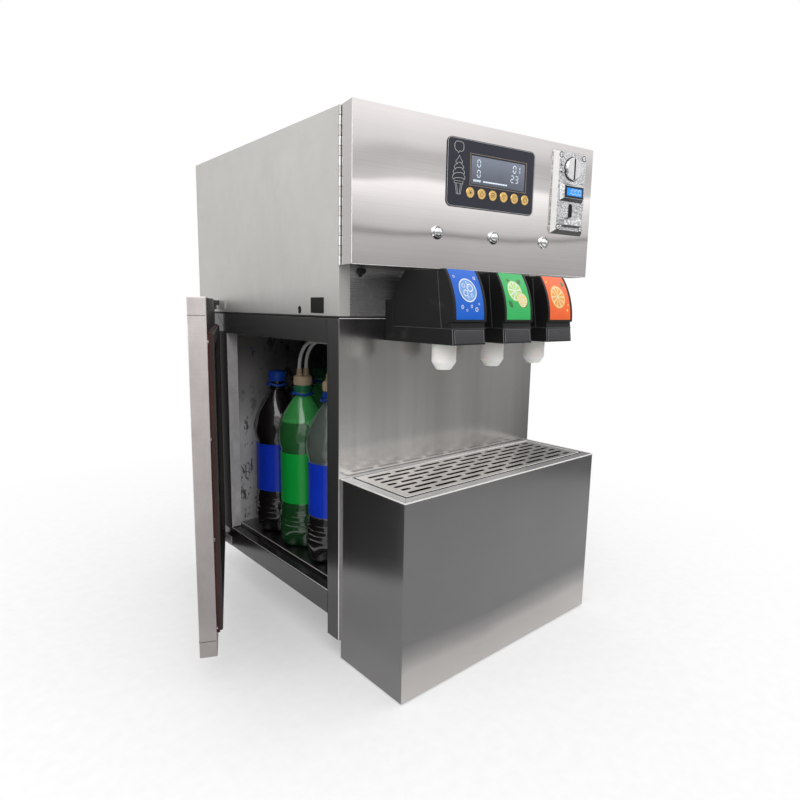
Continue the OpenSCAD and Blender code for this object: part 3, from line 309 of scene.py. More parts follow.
class Recipe(Nodes):
    """A procedural material on Object coordinates while its nodes are being laid out."""

    def __init__(self, name: str) -> None:
        """Starts an empty material with one main shader."""
        self.material = bpy.data.materials.new(name)
        self.material.use_nodes = True
        super().__init__(self.material.node_tree)
        self.tree.nodes.clear()
        self.out = self.tree.nodes.new("ShaderNodeOutputMaterial")
        self.shader = self.tree.nodes.new("ShaderNodeBsdfPrincipled")
        self.tree.links.new(self.shader.outputs[0], self.out.inputs[0])
        self.coords = self.tree.nodes.new("ShaderNodeTexCoord").outputs["Object"]
        self.relief: Socket | None = None

    def spot(self, stretch: Point = (1, 1, 1), at: Point = (0, 0, 0)) -> Socket:
        """Object coordinates, stretched and then shifted."""
        return self.add("ShaderNodeMapping", {"Vector": self.coords, "Scale": stretch, "Location": at}).outputs[0]

    def noise(
        self, scale: float, stretch: Point = (1, 1, 1), detail: float = 3.0, rough: float = 0.55, at: Point = (0, 0, 0)
    ) -> Socket:
        """Cloudy noise on Object coordinates.

        Args:
            scale: Overall scale.
            stretch: Scale along each axis.
            detail: Octaves.
            rough: Strength of the finer octaves.
            at: Shift of the pattern.

        Returns:
            The factor socket.
        """
        node = self.add(
            "ShaderNodeTexNoise",
            {"Vector": self.spot(stretch, at), "Scale": scale, "Detail": detail, "Roughness": rough},
        )
        return node.outputs["Fac"]

    def cells(self, scale: float) -> Socket:
        """Distance inside random cells, for pebbled castings and drops."""
        return self.add("ShaderNodeTexVoronoi", {"Vector": self.spot(), "Scale": scale}).outputs["Distance"]

    def axes(self) -> tuple[Socket, ...]:
        """The three Object coordinates as numbers."""
        return self.split(self.coords)

    def rise(self) -> Socket:
        """The upward part of a face's own direction, from minus one to one."""
        return self.split(self.add("ShaderNodeNewGeometry", {}).outputs["Normal"])[2]

    def lean(self) -> Socket:
        """Nought on upright faces and one on level ones, with folds between."""
        return self.calc("ABSOLUTE", self.rise())

    def upness(self) -> Socket:
        """One on level faces and nought on upright ones."""
        return self.calc("GREATER_THAN", self.lean(), 0.6)

    def ahead(self) -> Socket:
        """One on faces that look to the front, nought on those that look aside or back."""
        y = self.split(self.add("ShaderNodeTexCoord", {}).outputs["Normal"])[1]
        return self.calc("MAXIMUM", self.calc("MULTIPLY", y, -1.0), 0.0)

    def bump(self, height: object, distance: float) -> None:
        """Adds relief on top of any relief laid before.

        Args:
            height: The height pattern.
            distance: Height in metres.
        """
        inputs: dict[str | int, object] = {"Height": height, "Distance": distance, "Strength": 1.0}
        if self.relief is not None:
            inputs["Normal"] = self.relief
        self.relief = self.add("ShaderNodeBump", inputs).outputs[0]

    def done(self, **sockets: object) -> Material:
        """Feeds the main shader.

        Args:
            sockets: Inputs by name, with underscores for spaces.

        Returns:
            The finished material.
        """
        if self.relief is not None:
            self.feed(self.shader.inputs["Normal"], self.relief)
        for name, value in sockets.items():
            if isinstance(value, tuple) and len(value) == 3 and name.endswith(("Color", "Tint")):
                value = (*value, 1.0)
            self.feed(self.shader.inputs[name.replace("_", " ")], value)
        return self.material


@dataclass(frozen=True)
class BrushedSteel:
    """Brushed stainless sheet with level grain, slight waves and hand marks, and optional painted light and shade.

    Attributes:
        name: Name of the finish.
        tone: Colour of the metal.
        roughness: Mean gloss.
        grain: Grain lines per metre.
        lines: Strength of the grain in the colour.
        wave: Height of the sheet's slow waves, in metres.
        smudge: Strength of hand marks.
        foot: Lighter tone near the floor on front faces, a painted reflection of the floor, as height and strength.
        drape: Strength of soft upright streaks: painted reflections in the tone, with a little relief.
        mottle: Strength of cloudy marks, as left by a film.
        level: Factors on the tone and on the roughness of level faces; the tone factor is a painted highlight on level
            faces.
        fade: Height and factor of a slow change in tone towards the top, painted light and shade.
        metal: Share of bare metal under the film of wear.
        fold: Factor on the tone along level folds, a painted dark reflection on the bends.
        relief: Height of the grain, in metres.
        sheen: Factors on the tone of the lower left and the lower right part, a painted highlight and painted shade.
    """

    name: str
    tone: Colour
    roughness: float
    grain: float = 1500.0
    lines: float = 0.06
    wave: float = 0.0010
    smudge: float = 0.4
    foot: Pair = (0.0, 0.0)
    drape: float = 0.0
    mottle: float = 0.0
    level: Pair = (1.0, 1.0)
    fade: Pair = (1.0, 1.0)
    metal: float = 1.0
    fold: float = 1.0
    relief: float = 0.000007
    sheen: Pair = (1.0, 1.0)

    def make(self) -> Material:
        """Lays out the nodes.

        Returns:
            The material.
        """
        r = Recipe(self.name)
        upright = r.noise(1.0, (1.6, 1.6, self.grain), 4.0, 0.68)
        level = r.noise(1.0, (1.6, self.grain, 1.6), 4.0, 0.68)
        flat = r.upness()
        grain = r.blend(flat, upright, level)
        cloud = r.noise(3.2, (1, 1, 0.7), 4.0, 0.6)
        marks = r.ramp(r.noise(14.0, (1, 1, 0.8), 6.0, 0.7, (3, 1, 2)), (0.52, 0.0), (0.72, 1.0))
        tone = r.tint(self.tone, r.ramp(grain, (0.25, 1.0 - self.lines), (0.75, 1.0 + self.lines)))
        tone = r.tint(tone, r.ramp(cloud, (0.3, 0.94), (0.7, 1.05)))
        # Painted reflections: soft upright streaks in the tone, over a little real relief.
        if self.drape > 0:
            streak = r.noise(1.0, (21.0, 21.0, 0.9), 3.0, 0.5, (1, 6, 2))
            tone = r.tint(tone, r.ramp(streak, (0.34, 1.0 - self.drape), (0.66, 1.0 + self.drape)))
            r.bump(streak, 0.0016 * self.drape)
        if self.mottle > 0:
            film = r.noise(34.0, (1, 1, 0.6), 6.0, 0.66, (8, 3, 5))
            tone = r.tint(tone, r.ramp(film, (0.32, 1.0 - self.mottle), (0.68, 1.0 + self.mottle)))
        # Painted light and shade: the tone changes slowly towards the top.
        if self.fade[1] != 1.0:
            climb = r.calc("DIVIDE", r.axes()[2], self.fade[0])
            tone = r.tint(tone, r.ramp(climb, (0.0, 1.0), (0.35, 1.0), (1.0, self.fade[1])))
        # Painted highlight and painted shade: factors on the tone of the lower left and the lower right part.
        if self.sheen != (1.0, 1.0):
            x, _, z = r.axes()
            across = r.ramp(r.calc("ADD", x, 0.2), (0.08, self.sheen[0]), (0.28, 1.0), (0.5, self.sheen[1]))
            low = r.ramp(z, (0.27, 1.0), (0.41, 0.0))
            tone = r.blend(low, tone, r.tint(tone, across))
        # Painted highlight: level faces get a lighter tone than upright ones.
        if self.level[0] != 1.0:
            tone = r.blend(flat, tone, tuple(min(1.0, c * self.level[0]) for c in self.tone))
        tone = r.blend(r.calc("MULTIPLY", marks, 0.12 * self.smudge), tone, (0.30, 0.28, 0.26))
        # Painted dark reflection along the rounded folds between upright and level faces.
        if self.fold < 1.0:
            lean = r.ramp(r.lean(), (0.1, 0.0), (0.2, 1.0), (0.9, 1.0), (0.97, 0.0))
            tone = r.blend(lean, tone, tuple(c * self.fold for c in self.tone))
        # Painted reflection of the floor: a lighter tone near the floor on faces that look ahead.
        if self.foot[1] > 0:
            z = r.axes()[2]
            slant = r.calc("ADD", z, r.calc("MULTIPLY", r.calc("SUBTRACT", cloud, 0.5), 0.03))
            near = r.ramp(r.calc("DIVIDE", slant, self.foot[0]), (0.0, 1.0), (0.5, 0.78), (0.72, 0.34), (1.0, 0.0))
            near = r.calc("MULTIPLY", near, r.ramp(r.ahead(), (0.2, 0.1), (0.8, 1.0)))
            tone = r.blend(r.calc("MULTIPLY", near, self.foot[1]), tone, (0.62, 0.59, 0.57))
        rough = r.vary(self.roughness - 0.03, grain, 0.06)
        rough = r.vary(rough, marks, 0.10 * self.smudge)
        if self.level[1] != 1.0:
            rough = r.calc("MULTIPLY", rough, r.ramp(flat, (0.0, 1.0), (1.0, self.level[1])))
        r.bump(r.noise(3.4, (1, 1, 1.5), 1.5, 0.4, (5, 2, 7)), self.wave)
        r.bump(grain, self.relief)
        return r.done(Base_Color=tone, Metallic=self.metal, Roughness=rough)


@dataclass(frozen=True)
class Plastic:
    """Moulded plastic with a fine grain, slow mottling and a little dust.

    Attributes:
        name: Name of the finish.
        colour: Base colour.
        roughness: Mean gloss.
        grain: Grains per metre.
        relief: Height of the grain, in metres.
        mottle: Strength of the slow colour change.
        coat: Clear coat.
        glow: Light let through from behind, as with milky plastics.
        shine: Strength of the surface reflection.
    """

    name: str
    colour: Colour
    roughness: float
    grain: float = 1500.0
    relief: float = 0.00003
    mottle: float = 0.12
    coat: float = 0.0
    glow: float = 0.0
    shine: float = 0.3

    def make(self) -> Material:
        """Lays out the nodes.

        Returns:
            The material.
        """
        r = Recipe(self.name)
        fine = r.noise(self.grain, detail=2.0)
        slow = r.noise(11.0, detail=5.0, rough=0.6)
        tone = r.tint(self.colour, r.ramp(slow, (0.3, 1.0 - self.mottle), (0.7, 1.0 + self.mottle)))
        dust = r.ramp(r.noise(46.0, detail=6.0, rough=0.72, at=(1, 4, 2)), (0.58, 0.0), (0.8, 1.0))
        tone = r.blend(r.calc("MULTIPLY", dust, 0.05), tone, (0.55, 0.53, 0.5))
        rough = r.vary(self.roughness - 0.05, slow, 0.1)
        r.bump(fine, self.relief)
        return r.done(
            Base_Color=tone, Roughness=rough, Coat_Weight=self.coat, Coat_Roughness=0.12,
            Subsurface_Weight=self.glow, Subsurface_Scale=0.006, Specular_IOR_Level=self.shine,
        )


@dataclass(frozen=True)
class CastMetal:
    """Die-cast metal with a pebbled face.

    Attributes:
        name: Name of the finish.
        tone: Colour of the metal.
        roughness: Mean gloss.
        pebble: Pebbles per metre.
        relief: Height of a pebble, in metres.
        under: Factor on the tone of faces that look down, a painted shade.
    """

    name: str
    tone: Colour
    roughness: float
    pebble: float
    relief: float
    under: float = 1.0

    def make(self) -> Material:
        """Lays out the nodes.

        Returns:
            The material.
        """
        r = Recipe(self.name)
        pebble = r.cells(self.pebble)
        slow = r.noise(40.0, detail=4.0)
        tone = r.tint(self.tone, r.ramp(pebble, (0.1, 1.2), (0.7, 0.55)))
        tone = r.tint(tone, r.ramp(slow, (0.3, 0.86), (0.7, 1.08)))
        # Painted shade on faces that look down.
        if self.under < 1.0:
            low = r.ramp(r.calc("MULTIPLY", r.rise(), -1.0), (0.25, 0.0), (0.45, 1.0))
            tone = r.blend(low, tone, tuple(c * self.under for c in self.tone))
        rough = r.vary(self.roughness - 0.08, slow, 0.16)
        r.bump(r.calc("SUBTRACT", 1.0, pebble), self.relief)
        r.bump(r.noise(1600.0, detail=2.0), 0.00004)
        return r.done(Base_Color=tone, Metallic=1.0, Roughness=rough)


@dataclass(frozen=True)
class Chrome:
    """Polished plating with faint haze and turning marks.

    Attributes:
        name: Name of the finish.
        tone: Colour of the plating.
        roughness: Mean gloss.
    """

    name: str
    tone: Colour
    roughness: float

    def make(self) -> Material:
        """Lays out the nodes.

        Returns:
            The material.
        """
        r = Recipe(self.name)
        haze = r.noise(120.0, detail=5.0, rough=0.7)
        tone = r.tint(self.tone, r.ramp(haze, (0.3, 0.88), (0.7, 1.04)))
        rough = r.vary(self.roughness - 0.03, haze, 0.09)
        r.bump(r.noise(2400.0, detail=2.0), 0.000008)
        return r.done(Base_Color=tone, Metallic=1.0, Roughness=rough)


@dataclass(frozen=True)
class Print:
    """Printed film: an even ink with a faint screen pattern under a gloss.

    Attributes:
        name: Name of the finish.
        colour: Ink.
        roughness: Mean gloss.
        coat: Clear film on top.
        glow: Strength of its own light, for lit segments and for a painted glow on a printed label.
    """

    name: str
    colour: Colour
    roughness: float
    coat: float = 0.3
    glow: float = 0.0

    def make(self) -> Material:
        """Lays out the nodes.

        Returns:
            The material.
        """
        r = Recipe(self.name)
        screen = r.noise(2600.0, detail=1.0)
        slow = r.noise(26.0, detail=4.0)
        tone = r.tint(self.colour, r.ramp(screen, (0.3, 0.93), (0.7, 1.05)))
        tone = r.tint(tone, r.ramp(slow, (0.3, 0.94), (0.7, 1.05)))
        rough = r.vary(self.roughness - 0.04, slow, 0.08)
        r.bump(slow, 0.00005)
        if self.glow > 0:
            r.done(Emission_Color=self.colour, Emission_Strength=self.glow)
        return r.done(
            Base_Color=tone, Roughness=rough, Coat_Weight=self.coat, Coat_Roughness=0.08, Specular_IOR_Level=0.22
        )


@dataclass(frozen=True)
class Liner:
    """Pale bay lining with dark rubs and small ink marks, and painted shade on the far wall and towards the top.

    Attributes:
        name: Name of the finish.
        colour: Base colour.
        far: Colour of the far wall, away from the door, a painted shade.
    """

    name: str
    colour: Colour
    far: Colour

    def make(self) -> Material:
        """Lays out the nodes.

        Returns:
            The material.
        """
        r = Recipe(self.name)
        slow = r.noise(7.0, detail=6.0, rough=0.62)
        tone = r.tint(self.colour, r.ramp(slow, (0.3, 0.74), (0.7, 1.08)))
        # Painted shade on the far wall, away from the door.
        across = r.axes()[0]
        tone = r.blend(r.ramp(r.calc("MULTIPLY", across, 10.0), (0.0, 0.0), (0.55, 0.9), (0.9, 1.0)), tone, self.far)
        # Painted shade: darker towards the top of the bay.
        high = r.ramp(r.axes()[2], (0.27, 0.0), (0.34, 0.62), (0.43, 0.9))
        tone = r.blend(high, tone, (0.14, 0.132, 0.128))
        stroke = r.ramp(r.noise(52.0, (1, 1, 0.5), 4.0, 0.75, (2, 5, 1)), (0.57, 0.0), (0.62, 1.0))
        patch = r.calc("ADD", r.noise(9.0, detail=2.0, at=(4, 4, 4)), r.calc("MULTIPLY", high, 0.22))
        where = r.ramp(patch, (0.42, 0.0), (0.56, 1.0))
        rub = r.calc("MULTIPLY", r.calc("MULTIPLY", stroke, where), 0.85)
        tone = r.blend(rub, tone, (0.02, 0.02, 0.022))
        ink = r.ramp(r.noise(60.0, detail=2.0, at=(9, 1, 3)), (0.7, 0.0), (0.73, 1.0))
        tone = r.blend(r.calc("MULTIPLY", ink, 0.5), tone, (0.05, 0.07, 0.3))
        r.bump(slow, 0.0006)
        r.bump(r.noise(500.0, detail=3.0), 0.00005)
        return r.done(Base_Color=tone, Roughness=r.vary(0.36, slow, 0.2))


@dataclass(frozen=True)
class Bottle:
    """Blown bottle plastic with drops and flow marks.

    Attributes:
        name: Name of the finish.
        colour: Colour of the plastic and what shows through it.
        clear: Share of light let through.
        roughness: Mean gloss.
        foot: Factor on the colour of the lower part, which grows darker towards the bottom.
        fill: Height up to which the bottle is filled, in metres, or 0.
    """

    name: str
    colour: Colour
    clear: float
    roughness: float = 0.07
    foot: float = 1.0
    fill: float = 0.0

    def make(self) -> Material:
        """Lays out the nodes.

        Returns:
            The material.
        """
        r = Recipe(self.name)
        flow = r.noise(18.0, (1, 1, 0.3), 4.0, 0.55)
        drops = r.ramp(r.cells(420.0), (0.12, 1.0), (0.3, 0.0))
        tone = r.tint(self.colour, r.ramp(flow, (0.3, 0.82), (0.7, 1.15)))
        if self.foot < 1.0:
            depth = r.ramp(r.axes()[2], (0.16, self.foot), (0.19, 0.5 + 0.5 * self.foot), (0.27, 1.0))
            tone = r.tint(tone, depth)
        if self.fill > 0:
            z = r.axes()[2]
            empty = r.ramp(r.calc("SUBTRACT", z, self.fill - 0.1), (0.0985, 0.5), (0.1, 2.1), (0.103, 1.3), (0.14, 1.5))
            tone = r.tint(tone, empty)
        rough = r.vary(self.roughness - 0.02, flow, 0.08)
        r.bump(flow, 0.0016)
        r.bump(drops, 0.0001)
        return r.done(
            Base_Color=tone, Roughness=rough, Transmission_Weight=self.clear, IOR=1.5, Coat_Weight=0.8,
            Coat_Roughness=0.04,
        )


@dataclass(frozen=True)
class Glass:
    """The display's lit liquid-crystal face: graded blue-grey with a fine dot grid.

    Attributes:
        name: Name of the finish.
        dark: Colour at the lower edge.
        light: Colour at the upper edge.
        low: Height of the lower edge, in metres.
        high: Height of the upper edge, in metres.
    """

    name: str
    dark: Colour
    light: Colour
    low: float
    high: float

    def make(self) -> Material:
        """Lays out the nodes.

        Returns:
            The material.
        """
        r = Recipe(self.name)
        z = r.axes()[2]
        rise = r.calc("DIVIDE", r.calc("SUBTRACT", z, self.low), self.high - self.low)
        rise = r.calc("ADD", rise, r.calc("MULTIPLY", r.calc("SUBTRACT", r.noise(22.0), 0.5), 0.5))
        tone = r.ramp(rise, (0.05, self.dark), (0.95, self.light))
        dots = r.noise(1.0, (2600, 2600, 2600), 0.0)
        tone = r.tint(tone, r.ramp(dots, (0.3, 0.9), (0.7, 1.06)))
        r.bump(r.noise(30.0), 0.00006)
        return r.done(
            Base_Color=tone, Roughness=r.ramp(dots, (0.3, 0.16), (0.7, 0.24)), Coat_Weight=0.6, Coat_Roughness=0.05
        )


class Finishes:
    """Every finish of the dispenser, made once and kept by name."""

    def __init__(self) -> None:
        """Makes all the materials."""
        low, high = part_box("display_window")
        makers = (
            # Painted dark reflection along the hood's folded edges.
            BrushedSteel(
                "hood_steel", (0.60, 0.59, 0.57), 0.48, lines=0.03, smudge=0.2, wave=0.0006, mottle=0.03, metal=0.55,
                fold=0.3
            ),
            BrushedSteel("lid_steel", (0.635, 0.607, 0.60), 0.032, lines=0.05, wave=0.0016, smudge=0.15, relief=1e-7),
            # Painted dark reflection: a dark tone for the frame's steel, painted lighter towards the top.
            BrushedSteel(
                "frame_steel", (0.085, 0.0837, 0.0837), 0.2, lines=0.03, smudge=0.3, wave=0.0006, fade=(0.49, 2.7),
                metal=0.75
            ),
            # Painted shade: a darker tone for the steel under the lid.
            BrushedSteel(
                "bulkhead_steel", (0.38, 0.374, 0.374), 0.27, lines=0.02, smudge=0.1, wave=0.0008, metal=0.7,
                relief=0.000002
            ),
            # Painted light and shade: streaky reflections, a darker top under the lid, a lighter lower left and a
            # darker lower right.
            BrushedSteel(
                "splash_steel", (0.65, 0.64, 0.625), 0.19, lines=0.04, wave=0.0016, smudge=0.3, drape=0.1,
                fade=(0.49, 0.66), sheen=(1.5, 0.5)
            ),
            # Painted light and shade: a dark tone for the box's steel, a painted floor reflection near the foot,
            # lighter level faces and a slight darkening towards the top.
            BrushedSteel(
                "drip_steel", (0.176, 0.175, 0.175), 0.2, lines=0.07, smudge=0.4, foot=(0.078, 0.76), level=(3.1, 0.5),
                fade=(0.27, 0.9), metal=0.88
            ),
            BrushedSteel("grate_steel", (0.66, 0.625, 0.60), 0.11, lines=0.04, smudge=0.4, wave=0.0002),
            # Painted reflection: the door's steel grows lighter towards the top.
            BrushedSteel(
                "door_steel", (0.345, 0.318, 0.314), 0.42, lines=0.04, smudge=0.8, mottle=0.1, fade=(0.47, 2.25)
            ),
            BrushedSteel("hinge_steel", (0.62, 0.61, 0.6), 0.22, wave=0.0002),
            BrushedSteel("reveal_steel", (0.74, 0.72, 0.71), 0.5, smudge=0.9, mottle=0.2, wave=0.0002, metal=0.15),
            BrushedSteel("hinge_shade", (0.50, 0.48, 0.46), 0.25, wave=0.0002),
            # Painted highlights: a bright steel for lines along lit edges.
            BrushedSteel("highlight_steel", (0.88, 0.86, 0.84), 0.34, wave=0.0002, metal=0.35),
            BrushedSteel("back_steel", (0.52, 0.52, 0.51), 0.34, smudge=0.6),
            BrushedSteel("dark_steel", (0.10, 0.098, 0.096), 0.36, smudge=0.8),
            Plastic("valve_black", (0.010, 0.010, 0.0105), 0.44, 1100.0, 0.00005, shine=0.2),
            Plastic("kick_black", (0.016, 0.017, 0.020), 0.16, relief=0.00001, coat=0.5),
            Plastic("seam_black", (0.006, 0.006, 0.006), 0.6),
            Plastic("bead_grey", (0.07, 0.07, 0.072), 0.3),
            # Wear and painted highlights along the valves' hems.
            Plastic("hem_wear_and_highlight_grey", (0.24, 0.24, 0.245), 0.35),
            Plastic("deck_black", (0.015, 0.015, 0.016), 0.55),
            Plastic("rubber_black", (0.014, 0.014, 0.014), 0.75, 700.0, 0.00009),
            Plastic("gasket_dark", (0.035, 0.028, 0.026), 0.62, 600.0, 0.00008),
            Plastic("gasket_red", (0.07, 0.022, 0.018), 0.6, 600.0, 0.00008, 0.3),
            Plastic("nozzle_white", (0.90, 0.885, 0.85), 0.36, mottle=0.04, glow=0.3),
            Plastic("cap_tan", (0.56, 0.43, 0.29), 0.45, mottle=0.1),
            Plastic("cap_blue", (0.012, 0.07, 0.42), 0.36),
            Plastic("cap_green", (0.015, 0.16, 0.07), 0.36),
            Plastic("tube_pale", (0.66, 0.67, 0.64), 0.28, mottle=0.08, glow=0.2),
            Plastic("tank_white", (0.70, 0.70, 0.68), 0.45),
            Plastic("pump_grey", (0.045, 0.05, 0.058), 0.5, 900.0, 0.00008),
            Plastic("fan_black", (0.03, 0.032, 0.036), 0.46),
            Plastic("inlet_black", (0.012, 0.012, 0.012), 0.4),
            Plastic("mech_black", (0.02, 0.02, 0.022), 0.42),
            Plastic("board_green", (0.02, 0.13, 0.05), 0.34, 900.0, 0.00006, 0.2, 0.3),
            Plastic("chip_black", (0.015, 0.015, 0.016), 0.4),
            Plastic("plug_cream", (0.72, 0.68, 0.56), 0.4),
            Plastic("compressor_black", (0.012, 0.012, 0.013), 0.3, 300.0, 0.00015, coat=0.4),
            # The second colour is the far wall's painted shade.
            Liner("bay_lining", (0.72, 0.71, 0.71), (0.03, 0.027, 0.025)),
            BrushedSteel("bay_floor_steel", (0.34, 0.34, 0.34), 0.3, smudge=1.3),
            # Painted shade: the coin plate's faces that look down are made darker.
            CastMetal("coin_cast", (0.84, 0.845, 0.86), 0.3, 430.0, 0.00042, 0.12),
            CastMetal("scoop_bright", (0.86, 0.86, 0.87), 0.24, 260.0, 0.00003),
            CastMetal("supply_shell", (0.5, 0.51, 0.52), 0.4, 260.0, 0.00006),
            CastMetal("coil_copper", (0.62, 0.36, 0.20), 0.35, 400.0, 0.00004),
            Chrome("chrome", (0.84, 0.84, 0.85), 0.12),
            Chrome("knob_chrome", (0.74, 0.74, 0.75), 0.16),
            Chrome("key_gold", (0.80, 0.53, 0.20), 0.26),
            Print("overlay_ink", (0.030, 0.032, 0.046), 0.36, 0.06),
            Print("line_white", (0.62, 0.62, 0.62), 0.5, 0.0),
            Print("line_tan", (0.52, 0.40, 0.30), 0.4, 0.2),
            Print("icon_brown", (0.10, 0.045, 0.012), 0.5, 0.0),
            Print("lit_segment", (0.72, 0.82, 0.95), 0.5, 0.0, 0.35),
            Print("plate_blue", (0.005, 0.125, 0.62), 0.4, 0.1),
            Print("plate_green", (0.036, 0.47, 0.12), 0.4, 0.1),
            Print("plate_orange", (0.96, 0.145, 0.03), 0.4, 0.1),
            Print("art_white", (0.80, 0.81, 0.82), 0.3),
            Print("art_sky", (0.16, 0.36, 0.78), 0.3),
            Print("art_pith", (0.92, 0.72, 0.38), 0.3),
            Print("art_orange", (0.93, 0.36, 0.03), 0.3),
            Print("art_yellow", (0.86, 0.66, 0.10), 0.3),
            Print("art_lime", (0.42, 0.72, 0.14), 0.3),
            Print("art_leaf", (0.02, 0.16, 0.045), 0.3),
            Print("label_blue", (0.009, 0.05, 0.68), 0.3, 0.15),
            Print("label_green", (0.006, 0.42, 0.055), 0.3, 0.15),
            Print("coin_navy", (0.005, 0.008, 0.03), 0.3),
            # Painted glow: the printed coin label gives a little light of its own.
            Print("coin_sky", (0.008, 0.30, 0.90), 0.3, 0.2, 0.3),
            Glass("display_face", (0.075, 0.09, 0.13), (0.21, 0.24, 0.31), low.z, high.z),
            Bottle("pet_cola", (0.010, 0.008, 0.008), 0.0),
            Bottle("pet_lime", (0.07, 0.44, 0.11), 0.42, foot=0.5, fill=0.314),
            Bottle("pet_clear", (0.55, 0.66, 0.58), 0.82),
        )
        self.by_name = {maker.name: maker.make() for maker in makers}

    def __getitem__(self, name: str) -> Material:
        """The finish of that name."""
        return self.by_name[name]


# ---------------------------------------------------------------- meshes


def new_object(name: str, data: bpy.types.ID) -> Object:
    """A new object of that data in the scene."""
    obj = bpy.data.objects.new(name, data)
    bpy.context.scene.collection.objects.link(obj)
    return obj


def bake(obj: Object, name: str) -> Object:
    """Turns an object with modifiers into a plain mesh object.

    Args:
        obj: The object, which is removed.
        name: Name of the result.

    Returns:
        The plain object.
    """
    bpy.context.view_layer.update()
    deps = bpy.context.evaluated_depsgraph_get()
    mesh = bpy.data.meshes.new_from_object(obj.evaluated_get(deps), preserve_all_data_layers=True, depsgraph=deps)
    old = obj.data
    bpy.data.objects.remove(obj)
    if old.users == 0:
        bpy.data.meshes.remove(old)
    mesh.name = name
    return new_object(name, mesh)


def settle(obj: Object, body: str, slot: str, replaces: Iterable[str] = ()) -> None:
    """Hands a finished piece to the frame and reports it.

    Args:
        obj: The piece, in place.
        body: Name of the body that carries it.
        slot: Material slot of the record; not used.
        replaces: Nodes that it stands for.
    """
    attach(obj, body)
    names = tuple(replaces)
    if names:
        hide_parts(*names)
    LOG.info("%s on %s, %d faces", obj.name, body, len(obj.data.polygons))


def body_of(node: str) -> str:
    """Name of the body that a node of the model belongs to."""
    return frame["nodes"][node]["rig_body"]


def slot_of(node: str) -> str:
    """Material slot that the record gives a node."""
    for row in frame["record"]["subparts"]:
        if row["node"] == node:
            return row["material_slot"]
    raise KeyError(node)


def round_edges(obj: Object, width: float, segments: int, angle: float) -> None:
    """Adds rounded edges and even shading.

    Args:
        obj: The object.
        width: Width of the rounding, in metres.
        segments: Steps in it.
        angle: Least angle of an edge that is rounded, in degrees.
    """
    edge = obj.modifiers.new("edge", "BEVEL")
    edge.width = width
    edge.segments = segments
    edge.limit_method = "ANGLE"
    edge.angle_limit = math.radians(angle)
    edge.use_clamp_overlap = True
    obj.modifiers.new("shade", "WEIGHTED_NORMAL")


def soften(node: str, finish: Material, width: float, segments: int = STEPS) -> None:
    """Stands a copy with rounded edges in a node's place.

    Args:
        node: The node.
        finish: Its material.
        width: Width of the rounding, in millimetres.
        segments: Steps in it.
    """
    mesh = bpy.data.meshes.new(node + "_dressed")
    shape = bmesh.new()
    shape.from_mesh(frame["nodes"][node].data)
    bmesh.ops.remove_doubles(shape, verts=shape.verts, dist=2e-6)
    bmesh.ops.dissolve_limit(shape, angle_limit=math.radians(0.3), verts=shape.verts, edges=shape.edges)
    for side in shape.faces:
        side.smooth = True
        side.material_index = 0
    shape.to_mesh(mesh)
    shape.free()
    mesh.materials.clear()
    mesh.materials.append(finish)
    obj = new_object(node + "_rough", mesh)
    round_edges(obj, width * MM, segments, SHARP)
    settle(bake(obj, node + "_dressed"), body_of(node), slot_of(node), (node,))


def paint(node: str, finish: Material) -> None:
    """Gives a node of the model its material."""
    obj = frame["nodes"][node]
    if not obj.material_slots:
        obj.data.materials.append(finish)
    for place in obj.material_slots:
        place.material = finish
    LOG.info("%s painted %s", node, finish.name)


